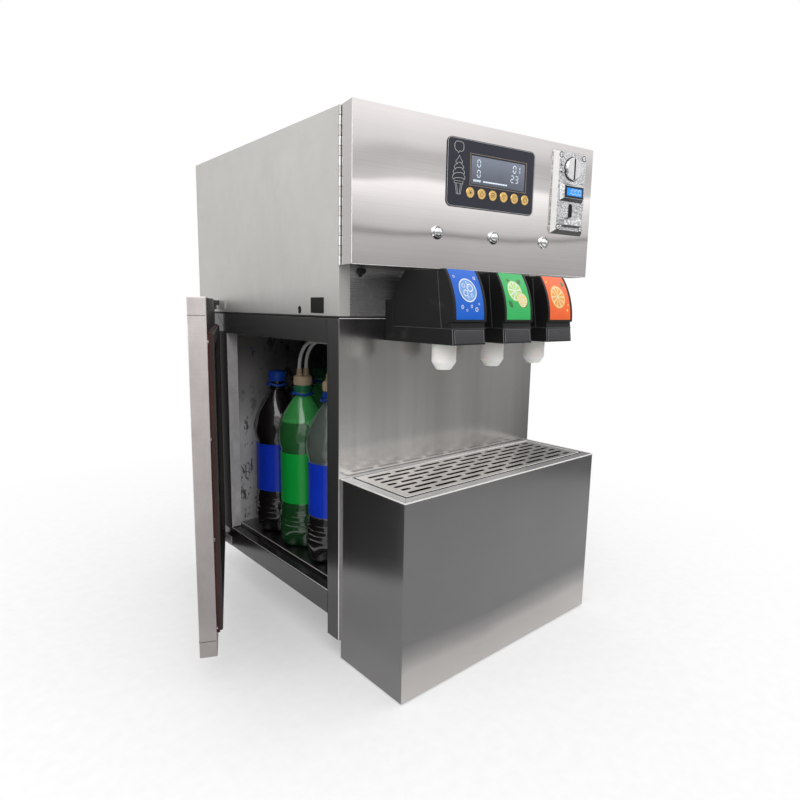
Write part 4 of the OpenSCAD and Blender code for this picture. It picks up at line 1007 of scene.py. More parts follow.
class Mould:
    """A mesh while it is being shaped, in closed millimetres."""

    def __init__(self, body: str, *finishes: Material) -> None:
        """Starts an empty mesh for a body, with its materials."""
        self.shape = bmesh.new()
        self.body = body
        self.finishes = finishes

    def add(
        self, points: Sequence[Point], faces: Iterable[Sequence[int]], tint: int = 0, turn: Matrix | None = None
    ) -> None:
        """Adds faces on new points.

        Args:
            points: The points.
            faces: Corners of each face by point number.
            tint: Number of the material.
            turn: A matrix for the points.
        """
        made = [self.shape.verts.new(turn @ Vector(p) if turn else p) for p in points]
        for corners in faces:
            side = self.shape.faces.new([made[i] for i in corners])
            side.material_index = tint
            side.smooth = True

    def block(self, low: Point, high: Point, tint: int = 0) -> None:
        """Adds a box between two corners."""
        points = [(x, y, z) for x in (low[0], high[0]) for y in (low[1], high[1]) for z in (low[2], high[2])]
        faces = ((0, 1, 3, 2), (4, 6, 7, 5), (0, 4, 5, 1), (2, 3, 7, 6), (0, 2, 6, 4), (1, 5, 7, 3))
        self.add(points, faces, tint)

    def loft(self, first: Sequence[Point], last: Sequence[Point], tint: int = 0, turn: Matrix | None = None) -> None:
        """Adds a solid between two outlines with as many corners each.

        Args:
            first: Corners of one end, anticlockwise seen from the other end.
            last: Corners of the other end.
            tint: Number of the material.
            turn: A matrix for the points.
        """
        n = len(first)
        faces = [tuple(range(n))[::-1], tuple(range(n, 2 * n))]
        faces += [(i, (i + 1) % n, n + (i + 1) % n, n + i) for i in range(n)]
        self.add([*first, *last], faces, tint, turn)

    def prism(self, outline: Sequence[Pair], low: float, high: float, tint: int = 0) -> None:
        """Adds an outline with thickness on an upright front face.

        Args:
            outline: Corners across and up, anticlockwise.
            low: Depth of its back, counted to the front.
            high: Depth of its front.
            tint: Number of the material.
        """
        self.loft([(x, y, low) for x, y in outline], [(x, y, high) for x, y in outline], tint, FRONT)

    def slab(self, face: Sequence[Point], shift: Point) -> None:
        """Adds a four-cornered plate between a face and its shifted copy."""
        back = [(x + shift[0], y + shift[1], z + shift[2]) for x, y, z in face]
        faces = ((0, 1, 2, 3), (7, 6, 5, 4), (0, 4, 5, 1), (1, 5, 6, 2), (2, 6, 7, 3), (3, 7, 4, 0))
        self.add([*face, *back], faces)

    def lathe(
        self, profile: Sequence[Pair], turn: Matrix, tint: int = 0, steps: int = 48,
        swell: Callable[[float, float], float] | None = None
    ) -> None:
        """Adds a turned shape about its own upright axis.

        Args:
            profile: Radius and height pairs from the bottom up; a radius of nought closes an end.
            turn: A matrix for the points.
            tint: Number of the material.
            steps: Points round the axis.
            swell: Factor on the radius by angle and height.

        The rings are joined to each other, and a ring of no radius becomes one point.
        """
        rings: list[list[int]] = []
        points: list[Point] = []
        for radius, height in profile:
            if radius <= 0:
                rings.append([len(points)])
                points.append((0.0, 0.0, height))
                continue
            ring = []
            for i in range(steps):
                a = 2 * math.pi * i / steps
                reach = radius * (swell(a, height) if swell else 1.0)
                ring.append(len(points))
                points.append((reach * math.cos(a), reach * math.sin(a), height))
            rings.append(ring)
        faces: list[tuple[int, ...]] = []
        for under, upper in zip(rings, rings[1:]):
            for i in range(steps):
                j = (i + 1) % steps
                if len(under) == 1:
                    faces.append((under[0], upper[j], upper[i]))
                elif len(upper) == 1:
                    faces.append((under[i], under[j], upper[0]))
                else:
                    faces.append((under[i], under[j], upper[j], upper[i]))
        self.add(points, faces, tint, turn)

    def disc(
        self, spot: OnFace, centre: Pair, inner: float, outer: float, start: float = 0.0, end: float = 360.0,
        tint: int = 0
    ) -> None:
        """Adds a thin round or wedge-shaped print that lies on a curved face.

        Args:
            spot: Carries flat print coordinates to the curved face.
            centre: Middle of the print.
            inner: Inner radius.
            outer: Outer radius.
            start: First angle in degrees.
            end: Last angle in degrees.
            tint: Number of the material.
        """
        across = max(2, int((outer - inner) / 2.0) + 1)
        around = max(4, int((end - start) / 7.0))
        points = []
        for i in range(across + 1):
            reach = inner + (outer - inner) * i / across
            for k in range(around + 1):
                a = math.radians(start + (end - start) * k / around)
                points.append(spot(centre[0] + reach * math.cos(a), centre[1] + reach * math.sin(a)))
        row = around + 1
        faces = [
            (i * row + k, (i + 1) * row + k, (i + 1) * row + k + 1, i * row + k + 1) for i in range(across)
            for k in range(around)
        ]
        self.add(points, faces, tint)

    def cast(
        self, name: str, slot: str, replaces: Iterable[str] = (), width: float = 0.0, angle: float = SHARP
    ) -> None:
        """Carries the shape to the frame as a finished piece.

        Args:
            name: Name of the piece.
            slot: Material slot of the record.
            replaces: Nodes that it stands for.
            width: Rounding of its edges, in millimetres.
            angle: Least angle of an edge that is rounded or stays sharp, in degrees.
        """
        bmesh.ops.remove_doubles(self.shape, verts=self.shape.verts, dist=MERGE)
        bmesh.ops.recalc_face_normals(self.shape, faces=self.shape.faces)
        self.shape.transform(PLACE.matrix(self.body))
        mesh = bpy.data.meshes.new(name)
        self.shape.to_mesh(mesh)
        self.shape.free()
        for finish in self.finishes:
            mesh.materials.append(finish)
        mesh.set_sharp_from_angle(angle=math.radians(angle))
        obj = new_object(name + ("_rough" if width else ""), mesh)
        if width:
            round_edges(obj, width * MM, STEPS, angle)
            obj = bake(obj, name)
        settle(obj, self.body, slot, replaces)


# ---------------------------------------------------------------- node trees


class Tree(Nodes):
    """A geometry tree with named inputs, built once and run on many meshes."""

    def __init__(self, name: str, inputs: dict[str, str]) -> None:
        """Starts a tree with a geometry input and the named inputs.

        Args:
            name: Name of the tree.
            inputs: Socket type by input name.
        """
        super().__init__(bpy.data.node_groups.new(name, "GeometryNodeTree"))
        face = self.tree.interface
        face.new_socket("Geometry", in_out="INPUT", socket_type="NodeSocketGeometry")
        self.keys = {
            key: face.new_socket(key, in_out="INPUT", socket_type=kind).identifier for key, kind in inputs.items()
        }
        face.new_socket("Geometry", in_out="OUTPUT", socket_type="NodeSocketGeometry")
        self.start = self.tree.nodes.new("NodeGroupInput")
        self.end = self.tree.nodes.new("NodeGroupOutput")

    def close(self, shape: Socket) -> None:
        """Ends the tree with real meshes and their material."""
        real = self.add("GeometryNodeRealizeInstances", {0: shape}).outputs[0]
        smooth = self.add("GeometryNodeSetShadeSmooth", {"Geometry": real, "Shade Smooth": False}).outputs[0]
        done = self.add("GeometryNodeSetMaterial", {"Geometry": smooth, "Material": self.start.outputs["Material"]})
        self.tree.links.new(done.outputs[0], self.end.inputs[0])

    def run(self, name: str, mesh: Mesh, values: dict[str, object]) -> Object:
        """Runs the tree on a mesh.

        Args:
            name: Name of the result.
            mesh: The points or lines to work on.
            values: Value by input name.

        Returns:
            A plain mesh object.
        """
        obj = new_object(name + "_rough", mesh)
        step = obj.modifiers.new("tree", "NODES")
        step.node_group = self.tree
        for key, value in values.items():
            step[self.keys[key]] = value
        return bake(obj, name)


class FieldTree(Tree):
    """Sets one small shape on each point, standing along the point's own facing."""

    def __init__(self, form: Form) -> None:
        """Builds the tree for one shape.

        Args:
            form: The shape to set.
        """
        sizes = {"Width": "NodeSocketFloat", "Length": "NodeSocketFloat", "Height": "NodeSocketFloat"}
        super().__init__("field_" + form.value, {**sizes, "Material": "NodeSocketMaterial"})
        wide, long, high = (self.start.outputs[key] for key in sizes)
        if form is Form.CROSS:
            first = self.bar(wide, long, high)
            second = self.bar(long, wide, high)
            shape = self.tree.nodes.new("GeometryNodeJoinGeometry")
            for part in (first, second):
                self.tree.links.new(part, shape.inputs[0])
            solid = shape.outputs[0]
        elif form is Form.RIB:
            solid = self.bar(wide, long, high)
        else:
            half = self.calc("MULTIPLY", wide, 0.5)
            crown = self.calc("MULTIPLY", wide, 0.33 if form is Form.SCREW else 0.44)
            cone = self.add(
                "GeometryNodeMeshCone", {"Vertices": 18, "Radius Top": crown, "Radius Bottom": half, "Depth": high}
            )
            solid = cone.outputs["Mesh"]
        facing = self.add("GeometryNodeInputNamedAttribute", {"Name": "facing"}, data_type="FLOAT_VECTOR").outputs[0]
        stand = self.add("FunctionNodeAlignRotationToVector", {"Vector": facing}, axis="Z").outputs[0]
        stand = self.add(
            "FunctionNodeAlignRotationToVector", {"Rotation": stand, "Vector": (0, 0, 1)}, axis="Y", pivot_axis="Z"
        ).outputs[0]
        self.close(
            self.add(
                "GeometryNodeInstanceOnPoints",
                {"Points": self.start.outputs["Geometry"], "Instance": solid, "Rotation": stand}
            ).outputs[0]
        )

    def bar(self, wide: Socket, long: Socket, high: Socket) -> Socket:
        """A bar of the given sizes, standing on its point."""
        size = self.add("ShaderNodeCombineXYZ", {0: wide, 1: long, 2: high}).outputs[0]
        cube = self.add("GeometryNodeMeshCube", {"Size": size}).outputs[0]
        up = self.calc("MULTIPLY", high, 0.5)
        lift = self.add("ShaderNodeCombineXYZ", {2: up}).outputs[0]
        return self.add("GeometryNodeTransform", {"Geometry": cube, "Translation": lift}).outputs[0]


class PathTree(Tree):
    """Runs a round bead along every line of a mesh."""

    def __init__(self) -> None:
        """Builds the tree."""
        super().__init__(
            "path_bead", {"Radius": "NodeSocketFloat", "Sides": "NodeSocketInt", "Material": "NodeSocketMaterial"}
        )
        line = self.add("GeometryNodeMeshToCurve", {"Mesh": self.start.outputs["Geometry"]}).outputs[0]
        ring = self.add(
            "GeometryNodeCurvePrimitiveCircle",
            {"Resolution": self.start.outputs["Sides"], "Radius": self.start.outputs["Radius"]}
        ).outputs[0]
        bead = self.add("GeometryNodeCurveToMesh", {"Curve": line, "Profile Curve": ring, "Fill Caps": True}).outputs[0]
        self.close(bead)


@dataclass
class Toolbox:
    """The trees and finishes that every sub-assembly uses."""

    finishes: Finishes = field(default_factory=Finishes)
    fields: dict[Form, FieldTree] = field(default_factory=lambda: {form: FieldTree(form) for form in Form})
    paths: PathTree = field(default_factory=PathTree)


# ---------------------------------------------------------------- sub-assemblies


def mm_box(node: str) -> tuple[Vector, Vector]:
    """A node's box in builder's millimetres."""
    low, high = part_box(node)
    return (low - PLACE.corner) / MM, (high - PLACE.corner) / MM


@dataclass
class Assembly:
    """A sub-assembly of the dispenser.

    Attributes:
        tools: Shared trees and finishes.
        body: Name of the body that carries its pieces.
    """

    tools: Toolbox
    body: ClassVar[str] = Body.CABINET.value

    def mould(self, *names: str, body: str = "") -> Mould:
        """An empty mesh in the named finishes, for the assembly's own body or another."""
        return Mould(body or self.body, *(self.tools.finishes[name] for name in names))

    def round(self, *shells: tuple[str, str, float, int] | tuple[str, str, float]) -> None:
        """Stands copies with rounded edges in the places of nodes.

        Args:
            shells: Node, finish, width of the rounding in millimetres, and its steps if they aren't two.
        """
        for node, finish, width, *steps in shells:
            soften(node, self.tools.finishes[finish], width, *steps)

    def field(
        self, form: Form, name: str, finish: str, slot: str, spots: Sequence[Spot], size: Point, body: str = ""
    ) -> None:
        """Sets a row of small shapes.

        Args:
            form: The shape.
            name: Name of the piece.
            finish: Name of the finish.
            slot: Material slot of the record.
            spots: Place and facing of each, in closed millimetres.
            size: Width, length and height in millimetres.
            body: Name of the body that carries it, if it isn't the assembly's own.
        """
        body = body or self.body
        carry = PLACE.matrix(body)
        turn = carry.to_3x3().normalized()
        mesh = bpy.data.meshes.new(name + "_points")
        mesh.from_pydata([carry @ Vector(p) for p, _ in spots], [], [])
        facing = mesh.attributes.new("facing", "FLOAT_VECTOR", "POINT")
        facing.data.foreach_set("vector", [c for _, f in spots for c in turn @ Vector(f)])
        values = {
            "Width": size[0] * MM, "Length": size[1] * MM, "Height": size[2] * MM,
            "Material": self.tools.finishes[finish]
        }
        settle(self.tools.fields[form].run(name, mesh, values), body, slot)

    def screws(self, name: str, finish: str, slot: str, spots: Sequence[Spot], wide: float, high: float) -> None:
        """Sets cross-recessed screws: heads, then the dark recesses.

        Args:
            name: Name of the pieces.
            finish: Name of the heads' finish.
            slot: Material slot of the record.
            spots: Place and facing of each, in closed millimetres.
            wide: Head diameter in millimetres.
            high: Head height in millimetres.
        """
        self.field(Form.SCREW, name, finish, slot, spots, (wide, wide, high))
        tops = [(tuple(Vector(p) + Vector(f) * (high - 0.25)), f) for p, f in spots]
        self.field(Form.CROSS, name + "_recess", "seam_black", slot, tops, (wide * 0.11, wide * 0.46, 0.3))

    def bead(
        self, name: str, finish: str, slot: str, lines: Sequence[Sequence[Point]], radius: float, sides: int = 6,
        replaces: Iterable[str] = (), body: str = ""
    ) -> None:
        """Runs a bead along lines.

        Args:
            name: Name of the piece.
            finish: Name of the finish.
            slot: Material slot of the record.
            lines: The lines' points, in closed millimetres; a line that ends on its start is closed.
            radius: Radius of the bead in millimetres.
            sides: Sides of the bead.
            replaces: Nodes that it stands for.
            body: Name of the body that carries it, if it isn't the assembly's own.
        """
        body = body or self.body
        carry = PLACE.matrix(body)
        points: list[Vector] = []
        edges: list[tuple[int, int]] = []
        for line in lines:
            closed = (Vector(line[0]) - Vector(line[-1])).length < 1e-6
            first = len(points)
            own = line[:-1] if closed else line
            points += [carry @ Vector(p) for p in own]
            edges += [(first + i, first + i + 1) for i in range(len(own) - 1)]
            if closed:
                edges.append((first + len(own) - 1, first))
        mesh = bpy.data.meshes.new(name + "_lines")
        mesh.from_pydata(points, edges, [])
        obj = self.tools.paths.run(
            name, mesh, {"Radius": radius * MM, "Sides": sides, "Material": self.tools.finishes[finish]}
        )
        for side in obj.data.polygons:
            side.use_smooth = True
        obj.data.set_sharp_from_angle(angle=math.radians(50))
        settle(obj, body, slot, replaces)

    def build(self) -> None:
        """Gives the nodes their finishes."""

    def dress(self) -> None:
        """Adds what the model leaves out."""


@dataclass
class Cabinet(Assembly):
    """The folded steel housing with its screws and seams.

    Attributes:
        width: Width of the housing in millimetres.
        depth: Depth of the housing.
        opening_front: Front edge of the bay's opening.
        opening_back: Rear edge of the bay's opening.
        opening_low: Lower edge of the bay's opening.
        opening_high: Upper edge of the bay's opening.
    """

    width: float = 420.0
    depth: float = 455.0
    opening_front: float = 28.5
    opening_back: float = 345.0
    opening_low: float = 95.0
    opening_high: float = 455.0

    def build(self) -> None:
        """Rounds the folded edges of every shell."""
        self.round(
            ("hood", "hood_steel", 0.7), ("hood_back", "back_steel", 0.45), ("side_frame", "frame_steel", 0.6),
            ("splash_panel", "splash_steel", 0.45), ("right_panel", "back_steel", 0.45),
            ("back_panel", "back_steel", 0.45), ("front_bulkhead", "bulkhead_steel", 0.3),
            ("base_tray", "back_steel", 0.4), ("bay_floor", "bay_floor_steel", 0.4),
            ("rubber_feet", "rubber_black", 1.2), ("lid_hinge_fixed", "hinge_steel", 0.25),
            ("door_hinge_fixed", "hood_steel", 0.35), ("door_catch", "seam_black", 0.6),
            ("power_inlet", "inlet_black", 0.4), ("bay_liner", "bay_lining", 0.8),
        )
        paint("head_deck", self.tools.finishes["deck_black"])

    def dress(self) -> None:
        """Adds seams, screws, painted highlights and painted shade along edges and gaps, hinge joints and the small
        latch under the lid.
        """
        self.seams()
        self.fasteners()
        self.edges()
        self.hinges()
        self.latch()

    def seams(self) -> None:
        """Draws the frame's joints above and below the opening."""
        f, b, lo, hi = self.opening_front, self.opening_back + 1, self.opening_low - 1, self.opening_high + 1
        face, mitre, top, foot = -0.05, self.opening_back + 34, 488.4, 60.6
        lines = [
            [(face, f, hi), (face, f, top)], [(face, f, foot), (face, f, lo)], [(face, b, hi), (face, mitre, top)],
            [(face, b, lo), (face, mitre, foot)],
        ]
        self.bead("frame_seams", "seam_black", "steel_body", lines, 0.28)

    def fasteners(self) -> None:
        """Sets the screws of back and right panel and the rivets of the door's straps."""
        back = mm_box("back_panel")[1].y
        spots: list[Spot] = []
        for z in (74.0, 200.0, 330.0, 474.0):
            spots += [((x, back, z), (0, 1, 0)) for x in (11.0, self.width - 11)]
        for z in (508.0, 740.0):
            spots += [((x, back, z), (0, 1, 0)) for x in (13.0, self.width / 2, self.width - 13)]
        for z in (76.0, 250.0, 472.0):
            spots += [((self.width, y, z), (1, 0, 0)) for y in (14.0, self.depth - 16)]
        self.screws("panel_screws", "hinge_steel", "steel_body", spots, 7.5, 1.7)
        pins = [((-1.5, y, z), (-1, 0, 0)) for y in (388.0, 403.0) for z in (69.0, 504.0)]
        self.field(Form.DOT, "strap_rivets", "hood_steel", "steel_hinge", pins, (6.0, 6.0, 1.2))

    def edges(self) -> None:
        """Draws painted shade in the gap under the hood, painted highlights along the splash's top and round the
        opening, and the opening's rear faces with a painted shade strip on the frame beside them.
        """
        f, b, lo, hi = self.opening_front, self.opening_back, self.opening_low, self.opening_high
        gap, top = 490.5, 489.2
        lip = [
            [(20.7, 28.0, 100.2), (20.7, 364.0, 100.2)],
            [(1.0, f + 0.5, lo + 0.4), (1.0, b - 0.5, lo + 0.4), (1.0, b - 0.5, hi - 0.4)],
            [(19.2, b - 0.4, lo + 6.0), (19.2, b - 0.4, hi - 0.4)],
        ]
        for name, finish, slot, lines, radius in (
            # Painted shade in the gap under the hood.
            ("hood_gap_shade", "seam_black", "deck_black", [[(0.7, 1.0, gap), (0.7, 453.0, gap)]], 1.5),
            ("hood_gap_shade_front", "seam_black", "deck_black", [[(419.2, 0.6, gap), (0.7, 0.6, gap)]], 0.8),
            # Painted highlights along the splash's top edge and round the opening.
            ("splash_top_highlight", "highlight_steel", "steel_body", [[(419.6, 0.2, top), (0.4, 0.2, top)]], 0.5),
            ("bay_lip_highlights", "highlight_steel", "steel_body", lip, 0.7),
        ):
            self.bead(name, finish, slot, lines, radius)
        for name, finish, slot, low, high in (
            ("bay_reveal", "reveal_steel", "steel_inner", (1.2, b - 0.12, lo + 1.2), (18.6, b + 0.1, hi - 0.6)),
            # Painted shade: a dark strip on the frame beside the opening's rear edge, where the door shades it.
            ("frame_shade_strip", "gasket_dark", "gasket", (-0.15, b + 2.0, lo - 3.0), (0.1, b + 33.0, hi + 3.0)),
        ):
            plate = self.mould(finish)
            plate.block(low, high)
            plate.cast(name, slot)

    def hinges(self) -> None:
        """Outlines the door's straps, paints shade behind the lid's hinge and marks the knuckles of the lid's hinge."""
        face, front, back, tall = -1.55, 379.0, 411.4, 13.5
        straps = [
            [(face, front, z + 0.5), (face, back, z + 0.5), (face, back, z + tall), (face, front, z + tall)]
            for z in (61.0, 498.0)
        ]
        self.bead("strap_outline", "seam_black", "steel_hinge", straps, 0.35)
        # Painted shade in the corner behind the lid's hinge.
        corner = [[(-0.2, -0.35, 559.0), (-0.2, -0.35, 752.0)]]
        self.bead("hinge_shadow_fixed", "seam_black", "steel_hinge", corner, 0.45)
        x, y = PLACE.lid_axis
        turns = [math.radians(a) for a in range(0, 361, 30)]
        knuckles, radius, foot, length = 16, 2.52, 558.0, 195.0
        step = length / knuckles
        rings = [
            [(x + radius * math.cos(a), y + radius * math.sin(a), foot + step * i) for a in turns]
            for i in range(1, knuckles)
        ]
        self.bead("hinge_joints", "seam_black", "steel_hinge", rings, 0.32)

    def latch(self) -> None:
        """Fills the hood's slot and adds the latch under the lid."""
        plug = self.mould("seam_black")
        plug.block((1.6, 95.0, 494.0), (2.4, 103.0, 507.0))
        plug.cast("hood_slot_plug", "steel_body", width=0.2)
        latch = self.mould("inlet_black")
        outline = [(29, 548), (38, 548), (41, 551), (41, 555), (37, 556.5), (31, 556.5), (29, 554.5)]
        latch.prism(outline, 0.02, 5.0)
        latch.prism([(32, 544.5), (36.5, 544.5), (36.5, 548.5), (32, 548.5)], 0.02, 2.6)
        latch.cast("lid_latch", "inlet_black", width=0.8)


@dataclass(frozen=True)
class Pen:
    """Draws lines on an upright face, about an origin.

    Attributes:
        u: The origin across.
        z: The origin's height.
        y: Depth of the face.
    """

    u: float
    z: float
    y: float

    def line(self, *points: Pair) -> list[Point]:
        """A line through points."""
        return [(self.u + a, self.y, self.z + b) for a, b in points]

    def loop(self, *points: Pair) -> list[Point]:
        """A closed line through points."""
        return self.line(*points, points[0])

    def arc(self, a: float, b: float, r: float, start: float = 0.0, end: float = 360.0) -> list[Point]:
        """An arc, closed if it is a whole turn.

        Args:
            a: Middle across.
            b: Middle upwards.
            r: Radius.
            start: First angle in degrees.
            end: Last angle in degrees.

        Returns:
            The points.
        """
        n = max(6, int((end - start) / 12))
        steps = [math.radians(start + (end - start) * i / n) for i in range(n + 1)]
        line = [(self.u + a + r * math.cos(s), self.y, self.z + b + r * math.sin(s)) for s in steps]
        if end - start >= 360:
            line[-1] = line[0]
        return line


@dataclass
class Lid(Assembly):
    """The hinged front with its control film, display, keys and coin plate.

    Attributes:
        film_left: Left edge of the control film.
        film_low: Lower edge of the control film.
        film_front: Face of the control film.
        window: Left, right, lower and upper edge of the display.
        key_first: Middle of the first key.
        key_step: Distance between keys.
        key_z: Height of the keys.
        coin_left: Left edge of the coin plate.
        coin_low: Lower edge of the coin plate.
        coin_front: Face of the coin plate.
    """

    body: ClassVar[str] = Body.LID.value
    film_left: float = 140.5
    film_low: float = 642.0
    film_front: float = -36.2
    window: tuple[float, float, float, float] = (181.5, 279.5, 675.0, 712.5)
    key_first: float = 180.5
    key_step: float = 20.0
    key_z: float = 663.0
    coin_left: float = 334.0
    coin_low: float = 621.0
    coin_front: float = -44.0

    def build(self) -> None:
        """Rounds the lid's own pieces."""
        self.round(
            ("lid_panel", "lid_steel", 0.7), ("lid_hinge_moving", "hinge_shade", 0.25),
            ("control_overlay", "overlay_ink", 0.3), ("display_window", "display_face", 0.2),
            ("control_board", "board_green", 0.15), ("button_sockets", "chrome", 0.5), ("coin_plate", "coin_cast", 0.8),
            ("coin_mech", "mech_black", 0.8), ("coin_return_knob", "knob_chrome", 0.6),
            *((f"key_{i}", "key_gold", 0.35) for i in range(1, 7)),
            *((f"push_button_{i}", "chrome", 0.5) for i in range(1, 4)),
        )

    def dress(self) -> None:
        """Adds painted shade behind the hinge, painted highlights on the lid's edges, print, lit figures, icons, screws
        and board parts.
        """
        # Painted shade behind the lid's hinge leaf.
        corner = [[(-0.2, -5.75, 559.5), (-0.2, -5.75, 751.5)]]
        self.bead("hinge_shadow_moving", "seam_black", "steel_hinge", corner, 0.45)
        # Painted highlights along the lid's left and lower edges.
        edges = [[(0.45, -34.55, 558.8), (0.45, -34.55, 751.2)], [(0.9, -34.6, 558.3), (419.2, -34.6, 558.3)]]
        self.bead("lid_edge_glints", "highlight_steel", "steel_body", edges, 0.55)
        self.film()
        self.figures()
        self.icons()
        self.coin()
        self.board()

    def film(self) -> None:
        """Draws the cone sign, the empty balloon and the frames of the film."""
        y, over = self.film_front - 0.02, 2.0
        pen = Pen(self.film_left + 20.0, self.film_low, y)
        lines = [
            pen.line((-6, 31), (-3.4, 17), (3.4, 17), (6, 31)), pen.loop((-7.4, 31), (7.4, 31), (7.4, 34), (-7.4, 34)),
            pen.line((-3.2, 31), (-1.4, 17)), pen.line((3.2, 31), (1.4, 17)),
        ]
        steps = [i / 12 for i in range(13)]
        for turn, w in enumerate((9.0, 8.0, 6.2, 4.0)):
            base = 35.0 + 6.6 * turn
            sweep = [(-w * math.cos(math.pi * s), base + 2.4 * s + 2.0 * math.sin(math.pi * s)) for s in steps]
            lines += [
                pen.line(*sweep), pen.arc(1.6 - w, base + 3.2, 3.2, 110, 250),
                pen.arc(w - 1.6, base + 4.0, 3.0, -80, 80),
            ]
        lines.append(pen.line((-3.4, 61.5), (-1.5, 64.0), (0.5, 67.5), (1.6, 64.0), (3.4, 62.0)))
        balloon = pen.arc(2.5, 80, 4.6, 0, 90) + pen.arc(-3.5, 80, 4.6, 90, 180) + pen.arc(-3.5, 77, 4.6, 180, 270)
        balloon += pen.line((-2, 69.6), (0, 72.4)) + pen.arc(2.5, 77, 4.6, 270, 360)
        lines.append([*balloon, balloon[0]])
        self.bead("film_sign", "line_white", "overlay", lines, 0.34)
        left, right, low, high = self.window
        wide, tall = right - left + over, high - low + over
        edge = Pen(left, low, y).loop((-over, -over), (wide, -over), (wide, tall), (-over, tall))
        self.bead("film_window_line", "line_tan", "overlay", [edge], 0.4)
        pen = Pen(self.film_left, self.film_low, y)
        near, far, top, r = 7.0, 150.0, 83.0, 5.8
        rim = pen.arc(near, near, r, 180, 270) + pen.arc(far, near, r, 270, 360)
        rim += pen.arc(far, top, r, 0, 90) + pen.arc(near, top, r, 90, 180)
        self.bead("film_border", "line_white", "overlay", [[*rim, rim[0]]], 0.28)

    def segments(self, digit: int, u: float, z: float, w: float, h: float) -> list[list[Pair]]:
        """The lit bars of one seven-bar figure.

        Args:
            digit: The figure.
            u: Left edge.
            z: Lower edge.
            w: Width.
            h: Height.

        Returns:
            One outline for each bar.
        """
        lit = {0: "abcdef", 1: "bc", 2: "abged", 3: "abgcd"}[digit]
        t = w * 0.1
        flat = {"a": z + h, "g": z + h / 2, "d": z}
        tall = {"f": (u, z + h / 2), "b": (u + w, z + h / 2), "e": (u, z), "c": (u + w, z)}
        bars = []
        for key in lit:
            if key in flat:
                q = flat[key]
                bar = [
                    (u + t, q), (u + 2 * t, q - t), (u + w - 2 * t, q - t), (u + w - t, q), (u + w - 2 * t, q + t),
                    (u + 2 * t, q + t),
                ]
            else:
                p, q = tall[key]
                bar = [
                    (p, q + t), (p + t, q + 2 * t), (p + t, q + h / 2 - 2 * t), (p, q + h / 2 - t),
                    (p - t, q + h / 2 - 2 * t), (p - t, q + 2 * t),
                ]
            bars.append(bar)
        return bars

    def figures(self) -> None:
        """Lights the figures and the level bar of the display."""
        face = 35.6
        lit = self.mould("lit_segment")
        shown = (
            (0, 192.5, 698.5), (0, 192.5, 685.0), (0, 257.0, 698.5), (1, 264.5, 698.5), (2, 253.5, 685.0),
            (3, 261.5, 685.0)
        )
        for digit, u, z in shown:
            for bar in self.segments(digit, u, z, 5.0, 9.2):
                lit.prism(bar, face - 0.05, face + 0.12)
        bars = [(203.0 + i * 4.4, 679.0, 4.0, 1.8) for i in range(10)]
        bars += [(u, 678.6, 2.2, 2.8) for u in (186.0, 189.4, 192.8, 196.2)]
        for u, z, w, h in bars:
            lit.prism([(u, z), (u + w, z), (u + w, z + h), (u, z + h)], face - 0.05, face + 0.1)
        lit.cast("display_figures", "display")

    def icons(self) -> None:
        """Marks each key with a plain line sign and rims the push buttons."""
        face = -37.22
        for i in range(6):
            pen = Pen(self.key_first + i * self.key_step, self.key_z, face)
            self.bead(f"key_sign_{i + 1}", "icon_brown", "key_gold", self.signs(pen)[i], 0.3, body=f"key_{i + 1}")
        for i, u in enumerate((128.0, 225.5, 323.0), 1):
            rings = [Pen(u, 606.0, -38.45).arc(0, 0, 7.6)]
            self.bead(f"button_rim_{i}", "seam_black", "chrome_button", rings, 0.22)

    def signs(self, pen: Pen) -> tuple[list[list[Point]], ...]:
        """The six keys' signs: a star, a drop, a target, a cone, a cup and a switch.

        Args:
            pen: The pen, with its origin at the key's middle.

        Returns:
            The lines of each sign.
        """
        turns = [math.radians(a) for a in (0, 60, 120)]
        star = [(3.4 * math.cos(a), 3.4 * math.sin(a)) for a in turns]
        drop = pen.arc(0, -1, 2.6, 150, 390) + pen.line((0, 4))
        return (
            [pen.line((-a, -b), (a, b)) for a, b in star], [[*drop, drop[0]]], [pen.arc(0, 0, 3.2), pen.arc(0, 0, 1.1)],
            [pen.loop((-3, 1), (0, -3.4), (3, 1)), pen.line((-3, 2.8), (3, 2.8))],
            [pen.loop((-3, 3), (-2, -3.2), (2, -3.2), (3, 3))],
            [pen.arc(0, 0, 3.0, 120, 420), pen.line((0, 0.6), (0, 3.8))],
        )

